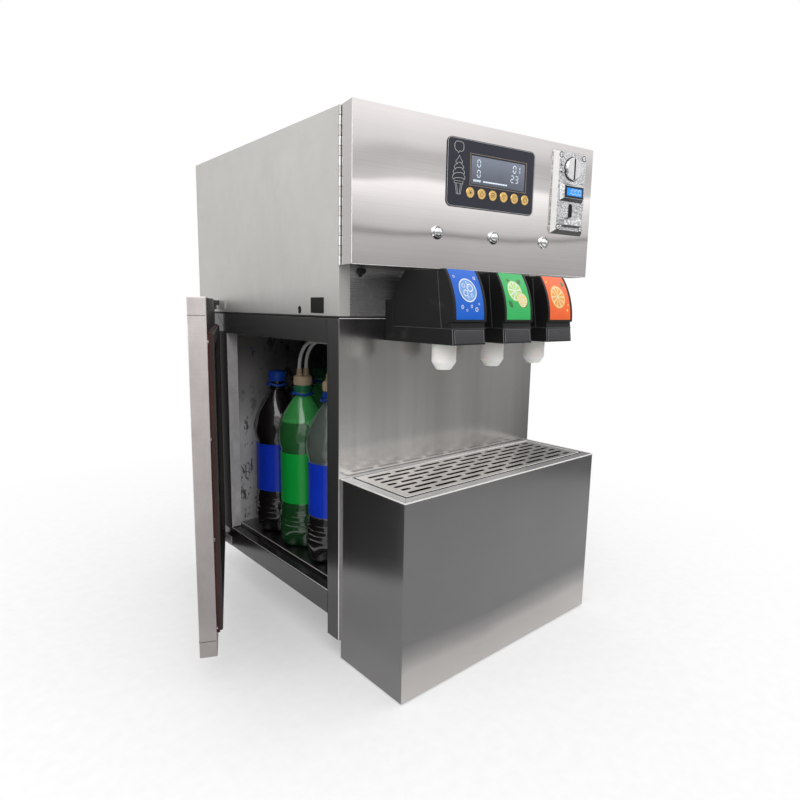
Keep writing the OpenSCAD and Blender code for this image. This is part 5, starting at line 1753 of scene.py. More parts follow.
    def coin(self) -> None:
        """Adds the coin plate's screws, its label, the dark slot and the return scoop."""
        l, z0, y = self.coin_left, self.coin_low, self.coin_front
        corners = [((l + dx, y + 0.1, z0 + dz), (0, -1, 0)) for dx in (9.0, 57.0) for dz in (9.0, 113.0)]
        self.field(Form.DOT, "coin_screw_wells", "seam_black", "coin_metal", corners, (9.4, 9.4, 0.25))
        self.screws("coin_screws", "chrome", "coin_metal", corners, 7.0, 1.9)
        mid = l + 33.0
        label = self.mould("coin_navy", "coin_sky", "art_white")
        face, high = y - 6.0, z0 + 60.5
        label.block((mid - 19.4, face - 0.6, high - 8.4), (mid + 19.4, face + 0.1, high + 8.4))
        label.block((mid - 15.6, face - 0.9, high - 5.4), (mid + 16.0, face - 0.5, high + 5.4), tint=1)
        for i, digit in enumerate((1, 0, 0, 0)):
            for bar in self.segments(digit, mid - 12.4 + 6.9 * i, high - 3.6, 4.6, 7.2):
                label.prism(bar, -face + 0.85, -face + 1.0, 2)
        label.cast("coin_label", "coin_metal", width=0.12)
        hole = self.mould("seam_black")
        arch = [
            (mid + 4.2 * math.cos(math.radians(a)), z0 + 40.5 + 4.2 * math.sin(math.radians(a)))
            for a in range(0, 181, 15)
        ]
        hole.prism([(mid - 4.2, z0 + 23.2), (mid + 4.2, z0 + 23.2), *arch], -y - 0.05, -y + 0.08)
        hole.cast("coin_slot_dark", "mech_black")
        scoop = self.mould("scoop_bright")
        rim = [
            (-y + 2.0, z0 + 24.05), (-y + 7.05, z0 + 20.05), (-y + 7.05, z0 + 12.0), (-y + 6.9, z0 + 12.0),
            (-y + 6.9, z0 + 19.9), (-y + 1.9, z0 + 23.9)
        ]
        scoop.loft(*([(mid + dx, -v, w) for v, w in rim] for dx in (-17.6, 17.6)))
        scoop.cast("coin_scoop_face", "coin_metal")
        self.coin_trim(l, mid)

    def coin_trim(self, l: float, mid: float) -> None:
        """Adds the coin knob's groove and teeth, a painted highlight on the plate's left side, and its finger bumps.

        Args:
            l: Left edge of the coin plate.
            mid: Middle of the coin plate across.
        """
        z0, y, knob_z = self.coin_low, self.coin_front, 716.0
        groove = self.mould("seam_black", body=Body.KNOB.value)
        groove.block((mid - 1.45, y - 3.6, 700.6), (mid + 1.45, y - 3.02, 731.4))
        groove.cast("knob_groove", "coin_metal", width=0.1)
        # Painted highlight: a bright strip over the plate's left bevel.
        glint = self.mould("highlight_steel")
        side = [
            (l - 0.05, y + 7.0, z0 + 0.9), (l - 0.05, y + 7.0, z0 + 121.1), (l + 4.9, y + 0.05, z0 + 116.6),
            (l + 4.9, y + 0.05, z0 + 5.4)
        ]
        glint.slab(side, (0.3, 0.25, 0.0))
        glint.cast("coin_side_glint", "coin_metal")
        ring = [Pen(mid, knob_z, y - 0.02).arc(0, 0, 17.2)]
        self.bead("knob_well", "seam_black", "coin_metal", ring, 0.45)
        bumps = [((mid - 22.0, y + 0.1, z0 + 101.0), (0, -1, 0)), ((mid - 21.0, y + 0.1, z0 + 91.0), (0, -1, 0))]
        self.field(Form.DOT, "coin_bumps", "coin_cast", "coin_metal", bumps, (6.5, 6.5, 1.8))
        turns = [math.radians(a) for a in range(0, 360, 15)]
        ways = [(math.cos(a), math.sin(a)) for a in turns]
        teeth = [((mid + 15.9 * c, -46.2, knob_z + 15.9 * s), (c, 0, s)) for c, s in ways]
        self.field(Form.RIB, "knob_teeth", "knob_chrome", "coin_metal", teeth, (1.6, 2.6, 0.5), Body.KNOB.value)

    def board(self) -> None:
        """Fills the back of the control board with parts."""
        y = -20.9
        chips = [
            ((u, y, z), (0, 1, 0)) for u, z in ((165, 705), (165, 672), (200, 690), (236, 704), (236, 668), (272, 690))
        ]
        self.field(Form.RIB, "board_chips", "chip_black", "board", chips, (14.0, 10.0, 2.2))
        cans = [((u, y, z), (0, 1, 0)) for u in (152.0, 183.0, 218.0, 252.0, 286.0) for z in (655.0, 721.0)]
        self.field(Form.DOT, "board_cans", "hinge_steel", "board", cans, (6.4, 6.4, 7.5))
        plugs = [((u, y, 652.0), (0, 1, 0)) for u in (168.0, 200.0, 234.0, 268.0)]
        self.field(Form.RIB, "board_plugs", "plug_cream", "board", plugs, (15.0, 6.0, 6.5))
        bits = [((150.0 + 6.5 * i, y, 681.0 + 2.0 * (i % 3)), (0, 1, 0)) for i in range(21)]
        self.field(Form.RIB, "board_bits", "plug_cream", "board", bits, (1.6, 3.2, 0.9))


@dataclass
class Valves(Assembly):
    """Three dispensing valves with their pictured plates and nozzles.

    Attributes:
        centres: Middle of each valve across the cabinet.
        under: Height of the valves' underside.
        face_y: Middle of the face's curve, front to back.
        face_z: Middle of the face's curve above the underside.
        face_r: Radius of the plate's face.
        half: Half the width of a valve.
    """

    centres: tuple[float, float, float] = (109.0, 207.0, 305.0)
    under: float = 459.0
    face_y: float = -23.5
    face_z: float = 32.0
    face_r: float = 110.1
    half: float = 30.5

    def build(self) -> None:
        """Rounds the mouldings."""
        inks = ("plate_blue", "plate_green", "plate_orange")
        for i, ink in enumerate(inks, 1):
            self.round(
                (f"valve_base_{i}", "valve_black", 0.8, 3), (f"valve_cover_{i}", "valve_black", 0.9, 3),
                (f"valve_plate_{i}", ink, 0.3),
            )
        self.round(("valve_nozzles", "nozzle_white", 0.7, 3))

    def spot(self, x: float) -> OnFace:
        """Carries print coordinates to the curved face of the valve at x.

        Args:
            x: Middle of the valve.

        Returns:
            A function from across and along to a point.
        """

        def carry(across: float, along: float) -> Point:
            """The point on the face for flat print coordinates."""
            a, r = along / self.face_r, self.face_r + 0.09
            return (x + across, self.face_y - r * math.cos(a), self.under + self.face_z + r * math.sin(a))

        return carry

    def dress(self) -> None:
        """Adds seams, plain kick plates, light hem lines of wear and painted highlight, pictures and spouts."""
        seams, beads, hems = [], [], []
        kick = self.mould("kick_black")
        z, wide = self.under, 27
        low, high, joint = z + 2, z + 18.8, z + 20.5
        for x in self.centres:
            for side in (-1, 1):
                e = x + side * (self.half + 0.02)
                seams.append([(e, -133, joint), (e, -18, joint)])
                beads.append([(e, -103, z + 92), (e, -105.5, z + 70), (e, -109, z + 45), (e, -112.5, z + 21)])
            seams.append([(x - self.half, -132.2, joint), (x + self.half, -132.2, joint)])
            l, r, e = x - wide, x + wide, x - self.half + 0.2
            kick.slab([(l, -133.9, low), (r, -133.9, low), (r, -131.9, high), (l, -131.9, high)], (0.0, 0.8, 0.0))
            # Light grey hem lines: wear and painted highlights along the kick plates and the bases' front edges.
            hems.append([(l, -134.0, low), (l, -132.0, high), (r, -132.0, high), (r, -134.0, low)])
            hems.append([(e, -133.6, z + 0.6), (e, -131.4, z + 20.2)])
        self.bead("valve_seams", "bead_grey", "valve_black", seams, 0.35)
        self.bead("valve_side_beads", "bead_grey", "valve_black", beads, 0.5)
        kick.cast("valve_kick_plates", "valve_base_black", width=0.25)
        self.bead("valve_hem_wear_and_highlights", "hem_wear_and_highlight_grey", "valve_black", hems, 0.3)
        self.blue(self.centres[0])
        self.green(self.centres[1])
        self.orange(self.centres[2])
        spout = self.mould("seam_black")
        profile = [(7.95, 3.2), (7.3, 1.4), (3.6, 1.2), (2.8, 3.2), (2.8, 9.0), (7.95, 9.0), (7.95, 3.2)]
        for x in self.centres:
            spout.lathe(profile, Matrix.Translation((x, -88.0, 424.0)), steps=28)
        spout.cast("nozzle_spouts", "nozzle_white")

    def blue(self, x: float) -> None:
        """Pictures bubbles on the first plate."""
        art = self.mould("art_white", "art_sky")
        on = self.spot(x)
        art.disc(on, (0, 38), 0, 15.5, tint=1)
        art.disc(self.lift(on, 0.05), (0, 38), 14.2, 15.8, tint=0)
        for u, s, r in ((-5, 34, 4.6), (4.5, 41, 5.6), (6, 31, 2.6), (-6.5, 44, 3.0), (0.5, 48, 2.0), (-1, 28, 1.8)):
            art.disc(self.lift(on, 0.05), (u, s), r * 0.72, r)
            art.disc(self.lift(on, 0.05), (u, s), r * 0.4, r * 0.55, 100, 170)
        for u, s, r in (
            (-14, 16, 2.4), (-6, 12, 1.6), (3, 17, 2.0), (12, 13, 2.8), (17, 20, 1.4), (-19, 56, 1.8), (18, 55, 2.3)
        ):
            art.disc(on, (u, s), r * 0.62, r)
        art.cast("plate_picture_blue", "plate_blue")

    def lift(self, on: OnFace, more: float) -> OnFace:
        """The same face a little farther out.

        Args:
            on: The face.
            more: Extra distance in millimetres.

        Returns:
            The raised face.
        """

        def raised(across: float, along: float) -> Point:
            """The raised point."""
            p = on(across, along)
            out = Vector((0, p[1] - self.face_y, p[2] - self.under - self.face_z)).normalized() * more
            return (p[0], p[1] + out.y, p[2] + out.z)

        return raised

    def slice(
        self, art: Mould, on: OnFace, centre: Pair, r: float, wedges: int, start: float, rind: int, pith: int,
        flesh: int
    ) -> None:
        """Pictures a cut fruit.

        Args:
            art: The print.
            on: The face.
            centre: Middle of the fruit.
            r: Its radius.
            wedges: Number of segments.
            start: First angle in degrees.
            rind: Material of the rind.
            pith: Material of the pith.
            flesh: Material of the segments.
        """
        art.disc(on, centre, r * 0.9, r, tint=rind)
        art.disc(on, centre, 0, r * 0.9, tint=pith)
        each = 360.0 / wedges
        for i in range(wedges):
            a = start + i * each
            mid = math.radians(a + each / 2)
            off = (centre[0] + r * 0.09 * math.cos(mid), centre[1] + r * 0.09 * math.sin(mid))
            art.disc(self.lift(on, 0.05), off, 0.4, r * 0.73, a + 4, a + each - 4, flesh)

    def green(self, x: float) -> None:
        """Pictures cut limes and leaves on the second plate."""
        art = self.mould("art_white", "art_lime", "art_yellow", "art_leaf")
        on = self.spot(x)
        for s, lean in ((50, 0), (24, 180)):
            for k in (-1, 1):
                art.disc(on, (k * 13, s), 0, 7.5, lean + 40 * k + 20, lean + 40 * k + 140, 3)
        self.slice(art, self.lift(on, 0.06), (-3, 40), 15.0, 9, 10, 1, 0, 1)
        self.slice(art, self.lift(on, 0.18), (10, 27), 10.0, 8, 25, 2, 0, 2)
        art.cast("plate_picture_green", "plate_green")

    def orange(self, x: float) -> None:
        """Pictures a cut orange on the third plate."""
        art = self.mould("art_pith", "art_orange", "art_leaf", "art_yellow")
        on = self.spot(x)
        art.disc(on, (15, 50), 0, 8.0, 20, 95, 2)
        self.slice(art, self.lift(on, 0.06), (-2, 34), 18.0, 10, 0, 1, 0, 1)
        for u, s, r in ((18, 14, 1.8), (-20, 57, 1.6), (21, 22, 1.2)):
            art.disc(on, (u, s), 0, r, tint=3)
        art.cast("plate_picture_orange", "plate_orange")


@dataclass
class DripTray(Assembly):
    """The deep drip box with its lift-out grate.

    Attributes:
        left: Left face of the box.
        right: Right face of the box.
        front: Front face of the box.
        top: Rim of the box.
    """

    left: float = 3.5
    right: float = 419.5
    front: float = -134.0
    top: float = 270.0

    def build(self) -> None:
        """Rounds the box and the grate."""
        self.round(("drip_box", "drip_steel", 0.8), ("drip_grate", "grate_steel", 0.3))

    def dress(self) -> None:
        """Adds the rim's mitred corners, painted highlights along the rim's and the grate's edges, weld spots, and
        painted shade in the gap round the grate.
        """
        low, high = mm_box("drip_grate")
        t, g = self.top + 0.02, 2.5
        seams = [
            [(self.left + 0.8, self.front + 0.8, t), (low.x - g, low.y - g, t)],
            [(self.right - 0.8, self.front + 0.8, t), (high.x + g, low.y - g, t)],
        ]
        self.bead("drip_corner_seams", "dark_steel", "steel_drip", seams, 0.2)
        # Painted highlights along the rim's outer edges and round the grate.
        e, z = 0.25, self.top - 0.45
        edge = [
            (self.left + e, -1.0, z), (self.left + e, self.front + e, z), (self.right - e, self.front + e, z),
            (self.right - e, -1.0, z)
        ]
        self.bead("drip_rim_highlight", "highlight_steel", "steel_drip", [edge], 1.0)
        e, z = 0.7, high.z - 0.2
        border = [
            (low.x + e, low.y + e, z), (high.x - e, low.y + e, z), (high.x - e, high.y - e, z),
            (low.x + e, high.y - e, z), (low.x + e, low.y + e, z)
        ]
        self.bead("grate_edge_highlight", "highlight_steel", "steel_grate", [border], 0.7, body=Body.GRATE.value)
        # Painted shade: a dark strip on the ledge in the gap round the grate.
        seat, g = low.z - 0.4, 2.3
        strip = self.mould("seam_black")
        l, r, f, b = low.x, high.x, low.y, high.y
        for a, c in (
            ((l - g, f - g), (l - 0.3, b + g)), ((r + 0.3, f - g), (r + g, b + g)),
            ((l - 0.3, f - g), (r + 0.3, f - 0.3)), ((l - 0.3, b + 0.3), (r + 0.3, b + g))
        ):
            strip.block((*a, seat + 0.02), (*c, seat + 0.5))
        strip.cast("grate_gap_shade", "rubber_black", width=0.15)
        welds = [
            ((self.left, self.front + y, self.top - z), (-1, 0, 0)) for y, z in ((3.0, 3.2), (6.5, 2.4), (11.0, 2.0))
        ]
        self.field(Form.DOT, "drip_weld_spots", "dark_steel", "steel_drip", welds, (2.6, 2.2, 0.5))


@dataclass
class Door(Assembly):
    """The hinged bay door.

    Attributes:
        outer: Outer face of the closed door.
        inner: Inner face of the closed door.
        front: Front edge.
        back: Hinge edge.
        low: Lower edge.
        high: Upper edge.
        cap: Height of the upper cap.
    """

    body: ClassVar[str] = Body.DOOR.value
    outer: float = -30.0
    inner: float = -8.0
    front: float = 1.0
    back: float = 372.0
    low: float = 53.0
    high: float = 513.5
    cap: float = 22.0

    def build(self) -> None:
        """Rounds the skin, the inner pan and the seal."""
        self.round(
            ("door_skin", "door_steel", 1.0, 3), ("door_inner_panel", "dark_steel", 0.5),
            ("door_gasket", "gasket_dark", 1.6, 3),
        )

    def dress(self) -> None:
        """Adds the caps' joints, the seal's red strip and screws."""
        lines = []
        for z in (self.high - self.cap, self.low + self.cap):
            f, b, o, i = self.front - 0.02, self.back, self.outer - 0.02, self.inner
            lines.append([(i - 1.5, f, z), (o + 0.6, f, z), (o, f + 0.6, z), (o, b - 0.6, z)])
        self.bead("door_cap_joints", "seam_black", "steel_door", lines, 0.32)
        red = self.mould("gasket_red")
        lo, hi, a, b = 81.0, 469.0, 14.5, 359.0
        back, face, wide, gap = -7.9, -4.2, 1.6, 0.05
        for (y0, z0), (y1, z1) in (
            ((a - wide, lo), (a - gap, hi)), ((b + gap, lo), (b + wide, hi)),
            ((a - wide, hi + gap), (b + wide, hi + wide)), ((a - wide, lo - wide), (b + wide, lo - gap)),
        ):
            red.block((back, y0, z0), (face, y1, z1))
        red.cast("seal_red_strip", "gasket", width=0.3)
        spots = [((self.inner, y, z), (1, 0, 0)) for y in (7.6, 366.0) for z in (90.0, 210.0, 340.0, 460.0)]
        self.screws("door_pan_screws", "hinge_steel", "steel_inner", spots, 5.5, 1.2)


@dataclass
class Bay(Assembly):
    """Supply bottles with their caps, ports and tubes.

    A bottle's profiles are pairs of radius and height above the stand, in millimetres.

    Attributes:
        base: Profile of a bottle's foot.
        grip: Profile between the waist and the label's band.
        band: Profile behind the label.
        shoulder: Profile from the label to the neck.
        neck: Profile of the neck with its flange.
        label: Profile of the label.
        ring: Profile of the ring that an opened cap leaves.
        cap: Profile of a spare bottle's cap.
        lid: Profile of a connector cap, from the bottle's mouth up.
        barb: Profile of a connector's port.
        stand: Height at which the bottles stand.
        places: Place and contents of each bottle; the last two are spare.
        tall: Height of a bottle to the mouth.
        port: Distance of a port from the cap's middle.
        tube: Radius of a tube.
        wall: Wall in which the tubes end.
        levels: Level of the tubes from the front and the rear bottles.
    """

    base: ClassVar[Profile] = (
        (0.0, 4.0), (12.0, 2.0), (22.0, 0.0), (30.0, 0.6), (36.0, 4.0), (39.5, 10.0), (41.6, 18.0), (42.6, 28.0),
        (43.0, 36.0),
    )
    grip: ClassVar[Profile] = ((40.2, 72.0), (39.3, 75.0), (38.9, 78.0))
    band: ClassVar[Profile] = ((38.9, 78.0), (38.7, 100.0), (38.7, 123.0), (38.8, 146.0), (39.0, 168.0))
    shoulder: ClassVar[Profile] = (
        (39.0, 168.0), (39.6, 171.0), (41.4, 176.0), (42.6, 182.0), (43.0, 189.0), (42.4, 198.0), (40.6, 208.0),
        (37.4, 219.0), (32.8, 230.0), (27.0, 240.5), (21.2, 249.5), (16.6, 256.5), (14.2, 260.6), (13.4, 262.0),
    )
    neck: ClassVar[Profile] = (
        (13.4, 262.0), (16.4, 262.6), (16.4, 264.6), (13.4, 265.4), (13.4, 280.0), (0.0, 280.0),
    )
    label: ClassVar[Profile] = (
        (38.6, 80.0), (39.3, 80.2), (39.1, 100.0), (39.1, 123.0), (39.2, 146.0), (39.4, 165.8), (38.6, 166.0),
    )
    ring: ClassVar[Profile] = ((13.5, 268.0), (15.4, 268.2), (15.6, 272.0), (15.2, 276.5), (13.5, 276.7))
    cap: ClassVar[Profile] = (
        (13.5, 276.0), (15.0, 276.2), (15.0, 279.0), (14.4, 279.4), (14.7, 280.0), (15.0, 292.2), (13.6, 294.0),
        (0.0, 294.0),
    )
    lid: ClassVar[Profile] = (
        (13.0, -1.5), (15.2, -1.4), (15.2, 0.0), (15.2, 11.6), (14.2, 13.4), (12.0, 14.0), (0.0, 14.0),
    )
    barb: ClassVar[Profile] = (
        (5.5, -0.4), (5.5, 3.6), (4.4, 4.2), (4.4, 6.0), (5.2, 6.4), (4.2, 9.0), (4.9, 9.4), (3.6, 12.0), (0.0, 12.0),
    )
    stand: float = 95.0
    places: tuple[tuple[float, float, Pet, bool], ...] = (
        (72.0, 121.0, Pet.LOW, True), (72.0, 209.0, Pet.LIME, True), (166.0, 121.0, Pet.COLA, True),
        (72.0, 297.0, Pet.COLA, False), (166.0, 297.0, Pet.LIME, False),
    )
    tall: float = 280.0
    port: float = 6.5
    tube: float = 3.0
    wall: float = 27.0
    levels: Pair = (442.0, 449.0)

    def build(self) -> None:
        """Blows the bottles and fits caps and tubes."""
        self.bottles()
        self.caps()
        self.tubes()

    @property
    def joined(self) -> list[Pair]:
        """Places of the bottles that feed the valves."""
        return [(x, y) for x, y, _, joined in self.places if joined]

    def spokes(self, place: Pair, r: float, z: float, count: int) -> list[Spot]:
        """Spots round an upright axis that look outwards.

        Args:
            place: Place of the axis.
            r: Distance from it.
            z: Height.
            count: Number of spots.

        Returns:
            The spots.
        """
        ways = [(math.cos(a), math.sin(a)) for a in (math.radians(i * 360 / count) for i in range(count))]
        return [((place[0] + r * c, place[1] + r * s, z), (c, s, 0)) for c, s in ways]

    def swell(self, angle: float, height: float) -> float:
        """Feet and grip waves of a bottle's wall.

        Args:
            angle: Angle round the bottle.
            height: Height above the stand.

        Returns:
            Factor on the radius.
        """
        if height < 34:
            fade = 1 - height / 34
            return 1 - 0.24 * fade * (0.5 + 0.5 * math.cos(5 * angle)) ** 2
        if height < 74:
            return 1 + 0.012 * math.sin(10 * angle + height * 0.22) * math.sin((height - 34) / 40 * math.pi)
        if 172 < height < 228:
            return 1 + 0.014 * math.sin(12 * angle - height * 0.16) * math.sin((height - 172) / 56 * math.pi)
        return 1.0

    def collar(self, x: float, y: float, height: float) -> list[Point]:
        """A wavy ring round a bottle's neck, which hangs on the neck's flange.

        Args:
            x: Place of the bottle across.
            y: Place of the bottle along.
            height: Height above the stand.

        Returns:
            Its closed line.
        """
        r, z = 17.6, self.stand + height
        turns = [math.radians(10 * i) for i in range(37)]
        return [(x + r * math.cos(a), y + r * math.sin(a), z + 1.3 * math.sin(4 * a)) for a in turns]

    def bottles(self) -> None:
        """Draws the five bottles with labels and rings."""
        waist = [
            (43.0 - 0.6 * (1 - math.cos((z - 36) / 8 * 2 * math.pi)) - 2.6 * ((z - 36) / 36) ** 2, float(z))
            for z in range(38, 71, 2)
        ]
        lower = [*self.base, *waist, *self.grip]
        shell = self.mould("pet_cola", "pet_lime", "pet_clear")
        wraps = self.mould("label_blue", "label_green")
        collars = []
        rings = self.mould("cap_blue", "cap_green")
        for x, y, held, joined in self.places:
            at = Matrix.Translation((x, y, self.stand))
            tints = {Pet.COLA: (0, 0), Pet.LIME: (1, 1), Pet.LOW: (0, 2)}[held]
            shell.lathe(lower, at, tints[0], 60, self.swell)
            shell.lathe(self.band, at, tints[1], 60)
            shell.lathe(self.shoulder, at, tints[1], 60, self.swell)
            shell.lathe(self.neck, at, 1 if held is Pet.LIME else 2 if joined else 0, 60)
            ink = 1 if held is Pet.LIME else 0
            wraps.lathe(self.label, at, ink, 60)
            collars.append(self.collar(x, y, 264.0 if joined else 270.0))
            if joined:
                rings.lathe(self.ring, at, ink, 40)
            else:
                rings.lathe(self.cap, at, ink)
        shell.cast("bottle_shells", "bottle_pet", ("supply_bottles",), angle=50)
        wraps.cast("bottle_labels", "bottle_pet", angle=50)
        rings.cast("bottle_rings", "bottle_pet", angle=30)
        self.bead("bottle_collars", "cap_blue", "bottle_pet", collars, 2.1)
        for kind, finish in ((Pet.COLA, "cap_blue"), (Pet.LIME, "cap_green")):
            spare = [(x, y) for x, y, held, joined in self.places if held is kind and not joined]
            ribs = [spot for place in spare for spot in self.spokes(place, 14.7, self.stand + 286, 36)]
            self.field(Form.RIB, f"cap_ribs_{kind.value}", finish, "bottle_pet", ribs, (0.9, 10.0, 0.7))

    def caps(self) -> None:
        """Draws the tan caps with barbed ports and ribs."""
        caps = self.mould("cap_tan")
        ribs: list[Spot] = []
        for x, y in self.joined:
            at = Matrix.Translation((x, y, self.stand + self.tall))
            caps.lathe(self.lid, at)
            for side in (-1, 1):
                stub = Matrix.Translation((x + side * self.port, y, self.stand + self.tall + 14))
                caps.lathe(self.barb, stub, steps=28)
            ribs += self.spokes((x, y), 15.1, self.stand + self.tall + 5.6, 40)
        caps.cast("bottle_connectors", "cap_tan", ("cap_connectors",), angle=30)
        self.field(Form.RIB, "connector_ribs", "cap_tan", "cap_tan", ribs, (0.9, 10.5, 0.5))

    def tubes(self) -> None:
        """Runs the tubes from the ports over to the front wall."""
        lines = []
        for x, y in self.joined:
            level = self.levels[0] if y < 150 else self.levels[1]
            foot = self.stand + self.tall + 14.0 + 12.0
            bend = level - foot - 2.0
            for side in (-1, 1):
                u = x + side * self.port
                line = [(u, y, foot - 8.0), (u, y, foot)]
                for i in range(17):
                    a = math.radians(90 * i / 16)
                    line.append((u, y - bend + bend * math.cos(a), foot + 2 + bend * math.sin(a)))
                line.append((u, self.wall + 0.3, level))
                lines.append(line)
        self.bead("bottle_tubes", "tube_pale", "tube_pale", lines, self.tube, 16, ("drink_tubes",))


@dataclass
class Works(Assembly):
    """Cooling parts, pump, supply and coin box inside the housing."""

    def build(self) -> None:
        """Rounds the parts that show with the lid open and paints the rest."""
        self.round(
            ("chiller_tank", "tank_white", 1.2), ("air_pump", "pump_grey", 0.8), ("power_supply", "supply_shell", 0.4),
            ("coin_box", "back_steel", 0.4),
        )
        for node, finish in (
            ("compressor", "compressor_black"), ("condenser", "coil_copper"), ("fan_shroud", "fan_black"),
            ("cooling_fan", "fan_black")
        ):
            paint(node, self.tools.finishes[finish])

    def dress(self) -> None:
        """Adds the power supply's screws and vents."""
        low, high = mm_box("power_supply")
        spots = [((x, y, high.z), (0, 0, 1)) for x in (low.x + 8, high.x - 8) for y in (low.y + 8, high.y - 8)]
        self.screws("supply_screws", "hinge_steel", "supply_metal", spots, 5.5, 1.3)
        ribs = [
            ((x, (low.y + high.y) / 2, high.z - 0.05), (0, 0, 1)) for x in [low.x + 22 + 6.2 * i for i in range(10)]
        ]
        self.field(Form.RIB, "supply_vents", "seam_black", "supply_metal", ribs, (2.4, 70.0, 0.2))


# ---------------------------------------------------------------- stage


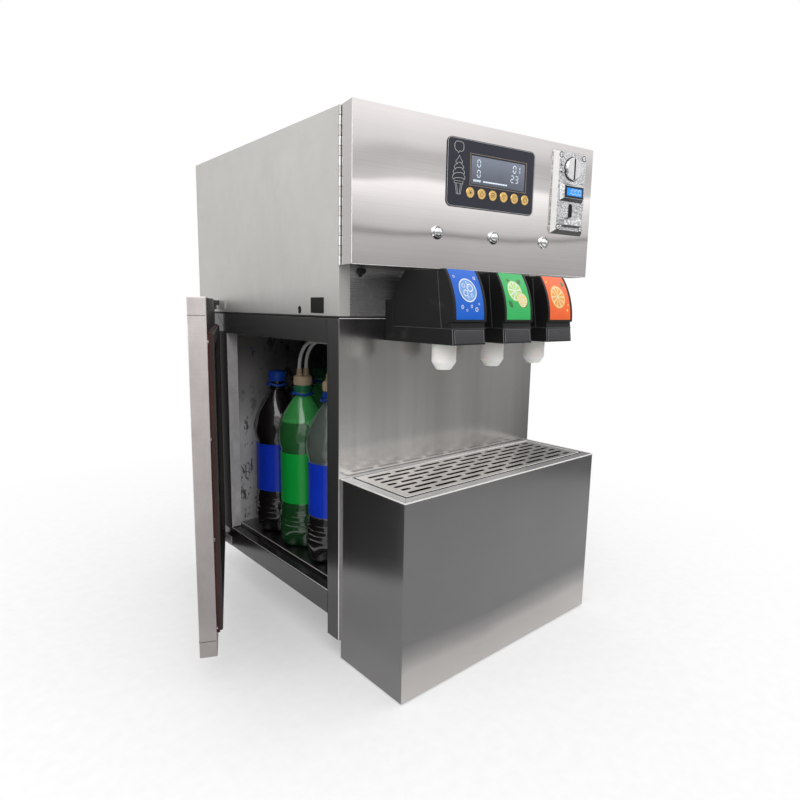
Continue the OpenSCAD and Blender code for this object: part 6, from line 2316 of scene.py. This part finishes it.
@dataclass
class Stage:
    """Plain floor, soft studio light and the photograph's camera.

    Attributes:
        eye: Camera's place in metres.
        lens: Focal length in millimetres on a sensor 36 mm wide.
        yaw: Turn of the view from straight back, in degrees.
        pitch: Angle below the horizon, in degrees.
        roll: Tilt of the picture, in degrees.
        floor_r: Radius of the floor.
        fronts: Brightness of the studio in front of the object, by height.
    """

    eye: Point = (-0.5687, -0.80665, 0.5047)
    lens: float = 26.48
    yaw: float = 40.957
    pitch: float = 8.918
    roll: float = 1.016
    floor_r: float = 1.25
    fronts: tuple[Pair, ...] = (
        (0.0, 0.16), (0.06, 0.26), (0.08, 0.45), (0.12, 0.65), (0.125, 0.2), (0.133, 0.8), (0.165, 1.2), (0.197, 1.75),
        (0.202, 0.9), (0.225, 0.7), (0.24, 0.7), (0.26, 1.1), (0.31, 1.5), (0.36, 1.15), (1.0, 1.1),
    )

    def camera(self) -> None:
        """Sets the camera as the photograph was taken."""
        y, p, r = (math.radians(a) for a in (self.yaw, self.pitch, self.roll))
        fwd = Vector((math.sin(y) * math.cos(p), math.cos(y) * math.cos(p), -math.sin(p)))
        right = Vector((math.cos(y), -math.sin(y), 0))
        up = right.cross(fwd)
        across = right * math.cos(r) + up * math.sin(r)
        above = up * math.cos(r) - right * math.sin(r)
        data = bpy.data.cameras.new("camera")
        data.lens = self.lens
        data.sensor_width = 36.0
        data.clip_start, data.clip_end = 0.01, 50.0
        obj = new_object("camera", data)
        turn = Matrix((across, above, -fwd)).transposed().to_4x4()
        obj.matrix_world = Matrix.Translation(self.eye) @ turn
        bpy.context.scene.camera = obj

    def floor(self) -> None:
        """Lays a round pale floor that fades into the background."""
        r = Recipe("floor_pale")
        path = r.add("ShaderNodeLightPath", {})
        seen = r.calc(
            "MAXIMUM", r.calc("MAXIMUM", path.outputs["Is Camera Ray"], path.outputs["Is Glossy Ray"]),
            path.outputs["Is Transmission Ray"]
        )
        reach = r.add("ShaderNodeVectorMath", {0: r.coords}, operation="LENGTH").outputs["Value"]
        edge = r.ramp(r.calc("DIVIDE", reach, self.floor_r), (0.0, 0.28), (0.45, 0.34), (0.97, 1.0))
        glow = r.add("ShaderNodeEmission", {"Color": (1, 1, 1, 1), "Strength": 1.0}).outputs[0]
        mix = r.add("ShaderNodeMixShader", {0: r.calc("MULTIPLY", seen, edge)})
        grain = r.noise(60.0, detail=4.0)
        r.done(Base_Color=r.ramp(grain, (0.3, 0.80), (0.7, 0.84)), Roughness=0.9, Specular_IOR_Level=0.0)
        for start, end in (
            (r.shader.outputs[0], mix.inputs[1]), (glow, mix.inputs[2]), (mix.outputs[0], r.out.inputs[0])
        ):
            r.tree.links.new(start, end)
        mesh = bpy.data.meshes.new("floor")
        n, level = 96, -0.0004
        turns = [2 * math.pi * i / n for i in range(n)]
        mesh.from_pydata(
            [(self.floor_r * math.cos(a), self.floor_r * math.sin(a), level) for a in turns], [], [tuple(range(n))]
        )
        mesh.materials.append(r.material)
        new_object("floor", mesh)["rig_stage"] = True

    def world(self) -> None:
        """Surrounds the object with a white background and a graded studio."""
        world = bpy.data.worlds.new("studio")
        world.use_nodes = True
        bpy.context.scene.world = world
        n = Nodes(world.node_tree)
        n.tree.nodes.clear()
        across, along, up = n.split(n.add("ShaderNodeTexCoord", {}).outputs["Generated"])
        rise = n.calc("MAXIMUM", up, 0.0)
        slope = n.add("ShaderNodeMapRange", {0: across, 1: 0.28, 2: 0.6, 3: 0.0, 4: 0.023}).outputs[0]
        front = n.ramp(n.calc("ADD", rise, slope), *self.fronts)
        wedge = n.ramp(across, (0.5, 1.0), (0.66, 0.1), (0.87, 0.1), (0.95, 1.0))
        shade = n.calc("MAXIMUM", wedge, n.ramp(rise, (0.27, 0.0), (0.4, 1.0)))
        backs = n.calc("MULTIPLY", n.ramp(rise, (0.0, 0.42), (0.04, 0.55), (0.3, 0.8), (1.0, 1.0)), shade)
        side = n.add("ShaderNodeMapRange", {0: along, 1: -0.25, 2: 0.25, 3: 0.0, 4: 1.0}).outputs[0]
        studio = n.blend(side, front, backs)
        path = n.add("ShaderNodeLightPath", {}).outputs
        part = n.calc("MULTIPLY", path["Is Glossy Ray"], 0.25)
        seen = n.calc("MAXIMUM", path["Is Camera Ray"], path["Is Transmission Ray"])
        seen = n.calc("MAXIMUM", seen, part)
        white = n.blend(seen, studio, (1.0, 1.0, 1.0))
        back = n.add("ShaderNodeBackground", {"Color": white, "Strength": 1.0}).outputs[0]
        n.add("ShaderNodeOutputWorld", {0: back})

    def lamp(self, name: str, at: Point, aim: Point, size: float, power: float) -> None:
        """Hangs one soft lamp.

        Args:
            name: Name of the lamp.
            at: Its place in metres.
            aim: The point it faces.
            size: Edge of its square face.
            power: Power in watts.
        """
        data = bpy.data.lights.new(name, "AREA")
        data.size = size
        data.energy = power
        obj = new_object(name, data)
        obj.location = at
        obj.rotation_mode = "QUATERNION"
        obj.rotation_quaternion = (Vector(aim) - Vector(at)).to_track_quat("-Z", "Y")
        obj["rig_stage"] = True

    def build(self) -> None:
        """Sets floor, light and camera."""
        bpy.context.scene.view_settings.view_transform = "Standard"
        self.floor()
        self.world()
        self.lamp("key", (-1.1, -1.5, 2.1), (0.05, 0, 0.4), 1.6, 16.0)
        self.lamp("side", (-1.7, 0.1, 0.75), (0.0, 0.1, 0.3), 0.9, 6.0)
        self.lamp("fill", (2.0, -0.4, 1.7), (0.05, 0, 0.35), 1.4, 7.0)
        self.camera()


class Dispenser:
    """The whole dispenser, put together from its sub-assemblies."""

    def __init__(self, tools: Toolbox) -> None:
        """Gathers the sub-assemblies."""
        kinds = (Cabinet, Lid, Valves, DripTray, Door, Works, Bay)
        self.parts = tuple(kind(tools) for kind in kinds)

    def build(self) -> None:
        """Builds and dresses every sub-assembly."""
        for part in self.parts:
            part.build()
            part.dress()


def main() -> None:
    """Builds the dispenser and its stage."""
    Dispenser(Toolbox()).build()
    Stage().build()
    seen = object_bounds()
    boxes = {"cad": CAD_BOX, "visual": seen}
    {key: [list(low), list(high)] for key, (low, high) in boxes.items()}
    LOG.info("finished")


if __name__ == "__main__":
    main()
